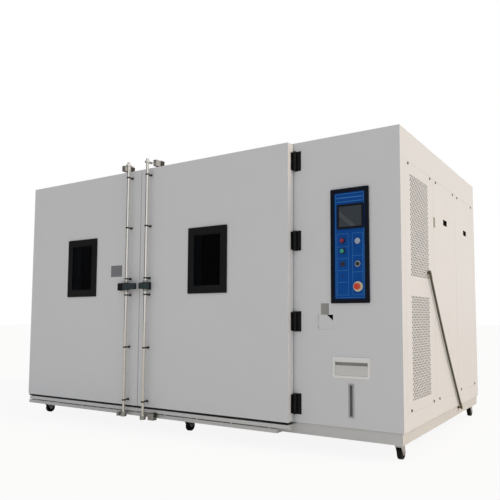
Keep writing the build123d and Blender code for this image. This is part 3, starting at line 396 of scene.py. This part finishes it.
def control_blue():
    """The control plate: blue film, deeper towards its top, with printed outlines and two light stripes."""
    blue = (0.003, 0.078, 0.350)
    light = (0.07, 0.26, 0.62)
    finish = Finish("control_blue", blue, 0.34, Specular_IOR_Level=0.1)
    x0, x1, z0, z1 = PLATE_BOX
    inset = BORDER_INSET
    lines = finish.drawn_box(x0 + inset, x1 - inset, z0 + inset, z1 - inset, BORDER_LINE)
    for sides, boxes in ((LEFT_BOX_X, LEFT_BOXES), (RIGHT_BOX_X, RIGHT_BOXES)):
        for levels in boxes:
            lines = lines.either(finish.drawn_box(*sides, *levels, BOX_LINE))
    printed = lines
    for levels in STRIPES:
        printed = printed.either(finish.within(x0 + STRIPE_INSET, x1 - STRIPE_INSET, *levels))
    shade = (finish.z - 0.95) * 0.5
    base = finish.mixed(shade.clamped(), tone(blue, 1.05), tone(blue, 0.72))
    cloud = finish.mixed(finish.noise(30.0, 3.0) * 0.3, base, tone(blue, 1.25))
    finish.paint(finish.mixed(printed * 0.8, cloud, light))
    finish.gloss(finish.noise(120.0, 2.0) * 0.08 + 0.30)
    finish.bump(lines, 0.1, 0.0002)
    return finish


def front_coat(colour):
    """The machine's front panel: powder coat outside, and painted shade, black, inside the flap's pocket."""
    finish = powder_coat("front_panel_coat", colour)
    # Painted shade: the inside of the flap's pocket is painted black
    inside = finish.within(*FLAP_POCKET) * (finish.y > FRONT_PLANE + POCKET_FRONT)
    outside = finish.shader.inputs["Base Color"].links[0].from_socket
    finish.paint(finish.mixed(inside, outside, (0.012, 0.012, 0.012)))
    return finish


def screen_face():
    """The touch screen: black housing and a blue-grey display with a painted reflection, a lighter slanting
    stripe.
    """
    black = (0.008, 0.010, 0.014)
    finish = Finish("touch_screen_face", black, 0.25, Specular_IOR_Level=0.12)
    display = finish.within(*DISPLAY_BOX)
    low = at(DISPLAY_BOX[0], 0, DISPLAY_BOX[2])
    # Painted reflection: a lighter slanting stripe across the display
    slope = (finish.x - low.x) * 0.9 + (finish.z - low.z)
    reflection_band = (slope > 0.070) * (slope < 0.105)
    glow = finish.mixed(reflection_band * 0.5, (0.048, 0.062, 0.078), (0.14, 0.15, 0.16))
    soft = finish.mixed(finish.noise(16.0, 2.0) * 0.35, glow, (0.085, 0.085, 0.08))
    finish.paint(finish.mixed(display, black, soft))
    finish.gloss(finish.noise(80.0, 2.0) * 0.1 + (0.22 - display * 0.05))
    return finish


def collar_metal():
    """Polished collars on the right, dark ones round the two buttons and a pale yellow ring at the stop."""
    silver = (0.66, 0.68, 0.70)
    finish = Finish("switch_collar", silver, 0.22, 1.0)
    low = finish.z < at(0, 0, STOP_COLLAR_TOP).z
    dark = finish.x < at(DARK_COLLARS_END, 0, 0).x
    worn = finish.mixed(finish.noise(90.0, 3.0), tone(silver, 0.8), silver)
    stop = finish.mixed(finish.noise(60.0, 3.0), (0.80, 0.76, 0.56), (0.86, 0.80, 0.50))
    finish.paint(finish.mixed(dark, finish.mixed(low, worn, stop), (0.02, 0.02, 0.035)))
    finish.feed(finish.shader.inputs["Metallic"], 1.0 - low.either(dark))
    return finish


def level_frame():
    """The level window: grey frame, with painted shade darkening its slot and a darker tube in the slot."""
    grey = (0.53, 0.53, 0.54)
    finish = Finish("level_frame", grey, 0.35, Specular_IOR_Level=0.2)
    # Painted shade: the slot is painted a darker grey than the frame
    slot = finish.within(*LEVEL_SLOT)
    tube = finish.within(*LEVEL_TUBE)
    shade = finish.mixed(finish.noise(70.0, 3.0), tone(grey, 0.93), tone(grey, 1.05))
    inner = finish.mixed(tube, (0.30, 0.30, 0.31), (0.19, 0.19, 0.20))
    finish.paint(finish.mixed(slot, shade, inner))
    finish.bump(finish.noise(300.0, 2.0), 0.05, 0.0003)
    return finish


def rod_steel():
    """Bright drawn stainless rod, faintly clouded, with a painted dark reflection down its left side."""
    colour = (0.74, 0.72, 0.68)
    finish = Finish("rod_steel", colour, 0.18, 1.0)
    drawn = finish.noise(500.0, 2.0, (1, 1, 0.02))
    cloud = finish.noise(6.0, 4.0, (1, 1, 3))
    bright = finish.mixed(drawn * 0.6 + cloud * 0.4, tone(colour, 0.8), tone(colour, 1.05))
    # Painted dark reflection: a near-black stripe down the left side of each rod
    painted_reflection = 0.0
    for rod_x in ROD_X.values():
        middle = at(rod_x, 0, 0).x
        painted_reflection = (finish.x > middle + ROD_REFLECTION_SPAN[0]) * (finish.x < middle + ROD_REFLECTION_SPAN[1]) + painted_reflection
    finish.paint(finish.mixed(painted_reflection * 0.9, bright, (0.05, 0.045, 0.04)))
    finish.gloss(drawn * 0.08 + cloud * 0.08 + 0.08)
    return finish


def scuffed_rubber():
    """The lead's dark sheath with lighter scuffs."""
    colour = (0.085, 0.080, 0.060)
    finish = Finish("lead_sheath", colour, 0.55, Specular_IOR_Level=0.2)
    scuff = finish.noise(45.0, 5.0)
    finish.paint(finish.mixed(scuff, tone(colour, 0.7), tone(colour, 1.8)))
    finish.gloss(scuff * 0.25 + 0.42)
    return finish


coat_white = (0.785, 0.80, 0.815)
coat = powder_coat("powder_coat", coat_white)
base_coat = powder_coat("base_coat", (0.70, 0.705, 0.70), 0.5)
steel = brushed("liner_steel", (0.60, 0.60, 0.59), 0.34, (1, 1, 0.03))
zinc = blotchy_metal("zinc_plate", (0.55, 0.55, 0.54), 0.28)
keeper_cast = blotchy_metal("keeper_cast", (0.40, 0.395, 0.38), 0.5)
key_metal = blotchy_metal("key_metal", (0.50, 0.56, 0.66), 0.18)
rod_metal = rod_steel()
foam = rigid_foam()
seal = dark_grained("seal_rubber", (0.012, 0.012, 0.012), 0.6)
black_coat = dark_grained("black_coat", (0.010, 0.011, 0.011), 0.42)
bezel_coat = dark_grained("bezel_coat", (0.004, 0.007, 0.014), 0.3)
guide_coat = dark_grained("guide_coat", (0.055, 0.052, 0.047), 0.4)
mat_fibre = dark_grained("mat_fibre", (0.012, 0.012, 0.012), 0.9)
grip_plastic = dark_grained("grip_plastic", (0.010, 0.009, 0.009), 0.5)
handle_plastic = dark_grained("handle_plastic", (0.040, 0.056, 0.060), 0.4)
wheel_rubber = dark_grained("wheel_rubber", (0.010, 0.011, 0.010), 0.35)
screw_black = dark_grained("screw_black", (0.006, 0.005, 0.005), 0.5)
enamel = dark_grained("compressor_enamel", (0.02, 0.02, 0.022), 0.35)
drawer_plastic = plastic("drawer_plastic", (0.93, 0.93, 0.92), 0.32, 0.02)
drawer_face = plastic("drawer_face", (0.74, 0.745, 0.73), 0.35, 0.02)
# Painted shade: the mid-grey of the drawer slot's back stands for the shade inside the slot
drawer_shade = plastic("drawer_shade", (0.34, 0.35, 0.32), 0.5)
fitting_olive = plastic("fitting_olive", (0.12, 0.10, 0.055), 0.4)
tank_plastic = plastic("tank_plastic", (0.72, 0.75, 0.77), 0.4)
stop_red = plastic("stop_red", (0.72, 0.055, 0.025), 0.25)
button_red = plastic("button_red", (0.30, 0.018, 0.075), 0.3)
lamp_green = plastic("lamp_green", (0.03, 0.42, 0.30), 0.25)
switch_black = plastic("switch_black", (0.03, 0.03, 0.035), 0.35)
port_plastic = plastic("port_plastic", (0.012, 0.010, 0.040), 0.35)
plate_grey = plastic("plate_grey", (0.24, 0.245, 0.262), 0.35)
plate_light = plastic("plate_light", (0.34, 0.34, 0.33), 0.4)
plate_olive = plastic("plate_olive", (0.24, 0.23, 0.16), 0.4)
lead_rubber = scuffed_rubber()
pane = window_pane()

NODE_FINISHES = {
    coat: ["front_frame", "machine_casing", "side_panels_plain", "side_panel_vented", "back_panel",
           "chamber_shell", "left_door_skin", "right_door_skin"],
    base_coat: ["base_frame", "door_sill"],
    steel: ["chamber_liner", "air_plenum"],
    zinc: ["circulation_fan", "electrical_panel", "caster_mounts", "caster_fork_front_left",
           "caster_fork_front_right"],
    rod_metal: ["left_lock_rod", "right_lock_rod"],
    foam: ["chamber_insulation", "left_door_core", "right_door_core"],
    seal: ["left_door_gasket", "right_door_gasket"],
    black_coat: ["hinge_fixed_leaves", "left_window_frame", "right_window_frame"],
    bezel_coat: ["control_bezel"],
    grip_plastic: ["panel_grips"],
    handle_plastic: ["left_lock_handle", "right_lock_handle"],
    wheel_rubber: [name for name in nodes if name.startswith("caster_wheel")],
    screw_black: ["panel_screws"],
    drawer_plastic: ["drawer_frame"],
    drawer_face: ["fill_drawer"],
    tank_plastic: ["water_tank"],
    enamel: ["refrigeration_unit"],
    stop_red: ["emergency_stop"],
    button_red: ["red_button"],
    lamp_green: ["green_button"],
    key_metal: ["key_switch"],
    switch_black: ["selector_switch"],
    lead_rubber: ["side_cable"],
    pane: ["left_window_glass", "right_window_glass"],
    control_blue(): ["control_plate"],
    front_coat(coat_white): ["front_panel"],
    screen_face(): ["touch_screen"],
    collar_metal(): ["switch_collars"],
    level_frame(): ["level_window"],
}

SOFT_EDGES = {
    0.003: ["left_lock_handle", "right_lock_handle", "emergency_stop"],
    0.0015: ["left_door_skin", "right_door_skin", "hinge_fixed_leaves", "left_lock_rod", "right_lock_rod",
             "panel_screws", "drawer_frame", "fill_drawer", "base_frame", "door_sill", "front_frame",
             "left_window_frame", "right_window_frame"],
    0.0006: ["control_bezel", "touch_screen", "red_button", "green_button", "key_switch", "selector_switch",
             "switch_collars", "level_window", "panel_grips"],
}


def soften(piece, width):
    """Rounds a piece's sharp edges."""
    bevel = piece.modifiers.new("soft_edges", "BEVEL")
    bevel.width = width
    bevel.segments = 2
    bevel.limit_method = "ANGLE"
    bevel.angle_limit = math.radians(40)
    bevel.harden_normals = True


def dress_nodes():
    """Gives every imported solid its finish, and some of them rounded edges."""
    for finish, names in NODE_FINISHES.items():
        for name in names:
            nodes[name].data.materials.clear()
            nodes[name].data.materials.append(finish.material)
    for width, names in SOFT_EDGES.items():
        for name in names:
            soften(nodes[name], width)


def in_scene(name, data):
    """Adds an object to the scene."""
    thing = bpy.data.objects.new(name, data)
    bpy.context.scene.collection.objects.link(thing)
    return thing


def mesh_from(name, build):
    """A mesh that a function fills through bmesh."""
    mesh = bpy.data.meshes.new(name)
    form = bmesh.new()
    build(form)
    bmesh.ops.recalc_face_normals(form, faces=form.faces)
    form.to_mesh(mesh)
    form.free()
    return mesh


def new_piece(mesh, finish, body):
    """Adds a mesh as a piece of the same name that rides on a body."""
    piece = in_scene(mesh.name, mesh)
    mesh.materials.append(finish.material)
    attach(piece, body)
    return piece


def add_block(form, low, high):
    """Adds a closed block between two corners."""
    corners = bmesh.ops.create_cube(form, size=1)["verts"]
    middle = (low + high) / 2
    span = high - low
    for corner in corners:
        corner.co = middle + Vector(a * b for a, b in zip(corner.co, span))


def add_turned(form, centre, axis, profile, sides):
    """Adds a closed turned form about an axis: the profile gives distances along it, each with its radius."""
    along = Vector(axis).normalized()
    aside = along.orthogonal().normalized()
    across = along.cross(aside)
    rings = []
    for distance, radius in profile:
        ring = []
        for i in range(sides):
            angle = math.tau * i / sides
            spoke = aside * math.cos(angle) + across * math.sin(angle)
            ring.append(form.verts.new(centre + along * distance + spoke * radius))
        rings.append(ring)
    for ring, following in zip(rings, rings[1:]):
        for i in range(sides):
            j = (i + 1) % sides
            form.faces.new((ring[i], ring[j], following[j], following[i]))
    form.faces.new(rings[0][::-1])
    form.faces.new(rings[-1])


def rounded_end(length, radius):
    """A cylinder's profile with small rounded ends."""
    return ((0, radius * 0.9), (0.001, radius), (length - 0.001, radius), (length, radius * 0.9))


def make_camera():
    """The camera, where the photograph was taken from."""
    data = bpy.data.cameras.new("camera")
    data.lens = LENS
    data.shift_x, data.shift_y = SHIFT
    data.clip_end = CLIP_END
    camera = in_scene("camera", data)
    camera.location = CAMERA_PLACE
    camera.rotation_euler = (math.radians(90 + CAMERA_TILT), 0, math.radians(CAMERA_TURN))
    bpy.context.scene.camera = camera


def make_lead():
    """The lead on the right side, between its two elbow fittings."""
    curve = bpy.data.curves.new("side_lead", "CURVE")
    curve.dimensions = "3D"
    curve.bevel_depth = LEAD_DIAMETER / 2
    curve.bevel_resolution = 6
    curve.resolution_u = 24
    spline = curve.splines.new("NURBS")
    spline.points.add(len(LEAD_ROUTE) - 1)
    for point, place in zip(spline.points, LEAD_ROUTE):
        point.co = (*at(*place), 1)
    spline.order_u = 3
    spline.use_endpoint_u = True
    curve.materials.append(lead_rubber.material)
    lead = in_scene("side_lead", curve)
    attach(lead, "cabinet")
    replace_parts(lead, "side_cable")
    tuple(at(*LEAD_ROUTE[0]))
    make_lead_fittings()


def make_lead_fittings():
    """The elbows that the lead runs between: a stub and nut on the panel and a sleeve along the lead."""
    first, middle, last = LEAD_ROUTE

    def build(form):
        for place, face in zip((first, last), FITTING_FACES):
            centre = at(*place)
            reach = (place[0] - face) / 1000
            nut_start = reach - NUT_HEIGHT
            stub = ((0.002, STUB_RADIUS), (nut_start - 0.001, STUB_RADIUS), (nut_start, NUT_RADIUS),
                    (reach, NUT_RADIUS))
            add_turned(form, centre, (-1, 0, 0), stub, HEXAGON)
            along = (at(*middle) - centre).normalized()
            add_turned(form, centre - along * SLEEVE_START, along, SLEEVE_PROFILE, ROUND)

    piece = new_piece(mesh_from("lead_fittings", build), fitting_olive, "cabinet")
    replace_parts(piece, "cable_fittings")
    return piece


def ring_points(y, z):
    """Points round a hole in the plane of the side panel."""
    angles = [math.tau / HOLE_SIDES * i for i in range(HOLE_SIDES)]
    return [(y + HOLE_RADIUS * math.cos(angle), z + HOLE_RADIUS * math.sin(angle)) for angle in angles]


def punched_places():
    """The centres of the staggered holes of both fields."""
    places = []
    for y0, y1, z0, z1 in FIELDS:
        rows = int((z1 - z0) / ROW_PITCH)
        columns = int((y1 - y0) / HOLE_PITCH)
        for row in range(rows):
            shift = HOLE_PITCH / 2 * (row % 2)
            for column in range(columns - row % 2):
                y = y0 + HOLE_PITCH / 2 + shift + column * HOLE_PITCH
                places.append((y, z0 + ROW_PITCH * (row + 0.5)))
    return places


def make_punched_panel():
    """The front side panel with its round holes, cut from one flat curve."""
    half_sheet = 0.001
    y0, y1 = PANEL_Y
    z0, z1 = PANEL_Z
    outlines = [[(y0, z0), (y1, z0), (y1, z1), (y0, z1)]]
    outlines += [ring_points(y, z) for y, z in punched_places()]
    curve = bpy.data.curves.new("punched_outline", "CURVE")
    curve.dimensions = "2D"
    curve.fill_mode = "BOTH"
    curve.extrude = half_sheet
    for outline in outlines:
        spline = curve.splines.new("POLY")
        spline.points.add(len(outline) - 1)
        spline.use_cyclic_u = True
        for point, (y, z) in zip(spline.points, outline):
            point.co = (y / 1000, z / 1000, 0, 1)
    flat = in_scene("punched_outline", curve)
    bpy.context.view_layer.update()
    mesh = bpy.data.meshes.new_from_object(flat)
    bpy.data.objects.remove(flat)
    mesh.name = "side_panel_punched"
    for vertex in mesh.vertices:
        y, z, x = vertex.co
        vertex.co = (RIGHT_FACE - half_sheet + x, FRONT_PLANE + y, z)
    mesh.materials.clear()
    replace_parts(new_piece(mesh, coat, "cabinet"), "side_panel_vented")


def make_filter_mats():
    """A dark filter mat behind each punched field."""
    inner, outer = MAT_DEPTHS

    def build(form):
        for y0, y1, z0, z1 in FIELDS:
            low = at(inner, y0 - MAT_OVERLAP, z0 - MAT_OVERLAP)
            add_block(form, low, at(outer, y1 + MAT_OVERLAP, z1 + MAT_OVERLAP))

    new_piece(mesh_from("filter_mats", build), mat_fibre, "cabinet")


def make_hinges(door):
    """The leaves and knuckles of a door's hinges."""
    side = -1 if door == "left" else 1
    pin = HINGE_X[door]
    third = HINGE_HEIGHT / 3

    def build(form):
        for top in HINGE_TOPS:
            x0, x1 = sorted(pin - side * reach for reach in LEAF_X)
            low = at(x0, HINGE_Y + LEAF_Y[0], top - HINGE_HEIGHT + LEAF_END)
            add_block(form, low, at(x1, HINGE_Y + LEAF_Y[1], top - LEAF_END))
            x0, x1 = sorted(pin - side * reach for reach in WEB_X)
            low = at(x0, HINGE_Y - WEB_HALF, top - 2 * third)
            add_block(form, low, at(x1, HINGE_Y + WEB_HALF, top - third))
            knuckle = rounded_end(third / 1000, KNUCKLE_RADIUS)
            add_turned(form, at(pin, HINGE_Y, top - 2 * third), (0, 0, 1), knuckle, ROUND)

    piece = new_piece(mesh_from(door + "_hinge_leaves", build), black_coat, door + "_door")
    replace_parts(piece, door + "_door_fittings")


def make_rod_guides(door):
    """The guides that carry a door's lock rod, each a ring on an arm with a foot and a bolt on the door."""
    rod_x = ROD_X[door]
    ring = rounded_end(0.011, 0.0155)
    bolt = rounded_end(0.010, 0.0075)

    def build(form):
        for level in GUIDE_LEVELS:
            add_turned(form, at(rod_x, ROD_Y, level - RING_BELOW), (0, 0, 1), ring, ROUND)
            low = at(rod_x - ARM_HALF, ROD_Y, level - ARM_HALF_HEIGHT)
            add_block(form, low, at(rod_x + ARM_HALF, DOOR_LEVEL, level + ARM_HALF_HEIGHT))
            x0, x1 = (rod_x + reach for reach in FOOT_X)
            foot_front = DOOR_LEVEL - FOOT_THICKNESS
            low = at(x0, foot_front, level - FOOT_HALF_HEIGHT)
            add_block(form, low, at(x1, DOOR_LEVEL, level + FOOT_HALF_HEIGHT))
            add_turned(form, at(rod_x + BOLT_X[door], foot_front, level), (0, -1, 0), bolt, HEXAGON)

    piece = new_piece(mesh_from(door + "_rod_guides", build), guide_coat, door + "_door")
    soften(piece, 0.0008)


def make_handle_rest(door):
    """The rest beside a door's handle."""
    side = -1 if door == "left" else 1
    x0, x1 = sorted(ROD_X[door] + side * reach for reach in REST_REACH[door])

    def build(form):
        add_block(form, at(x0, DOOR_LEVEL - REST_DEPTH, REST_Z[0]), at(x1, DOOR_LEVEL, REST_Z[1]))

    piece = new_piece(mesh_from(door + "_handle_rest", build), grip_plastic, door + "_door")
    soften(piece, 0.003)


def make_rod_collars(door):
    """The cast collars of a lock rod: at its foot, and above and below its handle."""
    collars = [(*FOOT_COLLARS[door], FOOT_COLLAR_RADIUS)]
    collars += [(*collar, HANDLE_COLLAR_RADIUS) for collar in HANDLE_COLLARS]

    def build(form):
        for level, height, radius in collars:
            add_turned(form, at(ROD_X[door], ROD_Y, level), (0, 0, 1), rounded_end(height, radius), ROUND)

    piece = new_piece(mesh_from(door + "_rod_collars", build), keeper_cast, door + "_lock")
    soften(piece, 0.0015)


def make_keepers():
    """The cast keepers on the body beside the rods' cams, and the dark pads on three of them."""
    kinds = (("keeper_blocks", KEEPERS, keeper_cast), ("keeper_pads", KEEPER_PADS, guide_coat))
    for name, blocks, finish in kinds:

        def build(form):
            for x0, x1, y0, y1, z0, z1 in blocks:
                add_block(form, at(x0, y0, z0), at(x1, y1, z1))

        piece = new_piece(mesh_from(name, build), finish, "cabinet")
        soften(piece, 0.002)
        if blocks is KEEPERS:
            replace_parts(piece, "lock_keepers")


def make_flap():
    """The small flap with its finger corner cut away, and the barrel that it turns on."""
    low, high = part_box("service_flap")
    leaf_front = FRONT_PLANE + 0.0004
    leaf_back = FRONT_PLANE + 0.002
    cut_wide = 0.042
    cut_high = 0.036
    barrel_radius = 0.003
    barrel_inset = 0.02
    x0 = low.x + 0.0032
    x1 = high.x
    z0 = low.z
    z1 = high.z
    outline = ((x0, z0), (x1, z0), (x1, z1 - cut_high), (x1 - cut_wide, z1), (x0, z1))

    def build(form):
        front = [form.verts.new((x, leaf_front, z)) for x, z in outline]
        back = [form.verts.new((x, leaf_back, z)) for x, z in outline]
        form.faces.new(front)
        form.faces.new(back[::-1])
        for i in range(len(outline)):
            j = (i + 1) % len(outline)
            form.faces.new((front[i], back[i], back[j], front[j]))
        foot = low + Vector((barrel_radius, barrel_radius, barrel_inset))
        barrel = rounded_end(z1 - z0 - 2 * barrel_inset, barrel_radius)
        add_turned(form, foot, (0, 0, 1), barrel, BARREL_ROUND)

    piece = new_piece(mesh_from("flap_leaf", build), coat, "service_flap")
    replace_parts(piece, "service_flap")


def make_drawer_strip():
    """The light strip of the drawer's frame above the finger slot, and a grey back in the slot that paints
    its shade.
    """
    strips = (
        ("drawer_strip", DRAWER_STRIP, drawer_plastic),
        ("drawer_slot_back", DRAWER_SLOT_BACK, drawer_shade),
    )
    for name, corners, finish in strips:
        low, high = (at(*corner) for corner in corners)
        mesh = mesh_from(name, lambda form: add_block(form, low, high))
        soften(new_piece(mesh, finish, "cabinet"), 0.0008)


def make_bare_plates():
    """Bare plates: on the left door, above the flap and on the side."""
    plates = (
        ("door_plate", plate_grey, "left_door", DOOR_PLATE, 1, DOOR_FACE - PLATE_THICKNESS, DOOR_FACE),
        ("front_plate", plate_light, "cabinet", FRONT_PLATE, 1, FRONT_PLANE - PLATE_THICKNESS, FRONT_PLANE),
        ("side_plate", plate_olive, "cabinet", SIDE_PLATE, 0, RIGHT_FACE, RIGHT_FACE + PLATE_THICKNESS),
    )
    for name, finish, body, corners, axis, near, far in plates:
        low, high = (at(*corner) for corner in corners)
        low[axis] = near
        high[axis] = far
        mesh = mesh_from(name, lambda form: add_block(form, low, high))
        soften(new_piece(mesh, finish, body), 0.0004)


def make_control_details():
    """The data port and the small pilot lamp."""
    face = FRONT_PLANE - PANEL_PROUD
    port_face = face - PORT_THICKNESS

    def port(form):
        x, z = PORT
        low = at(x - PORT_HALF, 0, z - PORT_HALF)
        high = at(x + PORT_HALF, 0, z + PORT_HALF)
        low.y = port_face
        high.y = face
        add_block(form, low, high)
        left, right, bottom, top = PORT_SOCKET
        low = at(x + left, 0, z + bottom)
        high = at(x + right, 0, z + top)
        low.y = face - SOCKET_PROUD
        high.y = port_face - SOCKET_GAP
        add_block(form, low, high)

    def lamp(form):
        centre = at(LAMP_DOT[0], 0, LAMP_DOT[1])
        centre.y = face
        add_turned(form, centre, (0, -1, 0), LAMP_PROFILE, SMALL_ROUND)

    for name, build in (("data_port", port), ("pilot_lamp", lamp)):
        new_piece(mesh_from(name, build), port_plastic, "cabinet")


def make_stage():
    """A pale floor that shows the object's soft shadow and looks white to the camera."""
    half = FLOOR_HALF
    places = ((-half, -half), (half, -half), (half, half), (-half, half))

    def build(form):
        form.faces.new([form.verts.new((x, y, 0)) for x, y in places])

    floor = in_scene("floor", mesh_from("floor", build))
    finish = Finish("floor_pale", FLOOR_GREY, 0.9, Specular_IOR_Level=0.0)
    rays = finish.node("ShaderNodeLightPath")
    seen = Value(finish, rays.outputs["Is Camera Ray"])
    glow = finish.node("ShaderNodeEmission", inputs={"Color": WHITE, "Strength": 1.0})
    shown = finish.blended(seen * FLOOR_GLOW, finish.shader.outputs[0], glow.outputs[0])
    finish.feed(finish.tree.nodes["Material Output"].inputs["Surface"], shown)
    floor.data.materials.append(finish.material)


def make_world():
    """An even studio: white behind the object, cool plain light on it, less on the left for what shines."""
    world = bpy.data.worlds.new("studio")
    bpy.context.scene.world = world
    world.use_nodes = True
    studio = Shading(world.node_tree)
    backdrop = studio.tree.nodes["Background"]
    studio.feed(backdrop.inputs["Color"], WHITE)
    white = backdrop.outputs[0]
    plain = studio.node("ShaderNodeBackground", inputs={"Color": SKY, "Strength": AMBIENT}).outputs[0]
    dim = studio.node("ShaderNodeBackground", inputs={"Color": WHITE, "Strength": DIM_SIDE}).outputs[0]
    place = studio.node("ShaderNodeTexCoord").outputs["Generated"]
    across = studio.node("ShaderNodeSeparateXYZ", inputs={0: place}).outputs["X"]
    limits = {"Value": across, "From Min": DIM_STARTS, "From Max": DIM_ENDS}
    leftness = studio.node("ShaderNodeMapRange", inputs=limits).outputs[0]
    rays = studio.node("ShaderNodeLightPath").outputs
    seen = Value(studio, rays["Is Camera Ray"]).either(Value(studio, rays["Is Transmission Ray"]))
    shine = studio.blended(leftness, white, dim)
    lit = studio.blended(rays["Is Glossy Ray"], plain, shine)
    studio.feed(studio.tree.nodes["World Output"].inputs["Surface"], studio.blended(seen, lit, white))


def make_sun():
    """A warm soft key light from the right, a little behind, so that the front stays in shade."""
    data = bpy.data.lights.new("key_light", "SUN")
    data.energy = SUN_ENERGY
    data.color = SUN_COLOUR
    data.angle = math.radians(SUN_WIDTH)
    sun = in_scene("key_light", data)
    sun.rotation_euler = Vector(SUN_FROM).normalized().to_track_quat("Z", "Y").to_euler()


bpy.context.scene.view_settings.view_transform = "Standard"
make_camera()
make_lead()
dress_nodes()
make_punched_panel()
make_filter_mats()
for door in ("left", "right"):
    make_hinges(door)
    make_rod_guides(door)
    make_handle_rest(door)
    make_rod_collars(door)
make_keepers()
make_flap()
make_drawer_strip()
make_bare_plates()
make_control_details()
make_stage()
make_world()
make_sun()
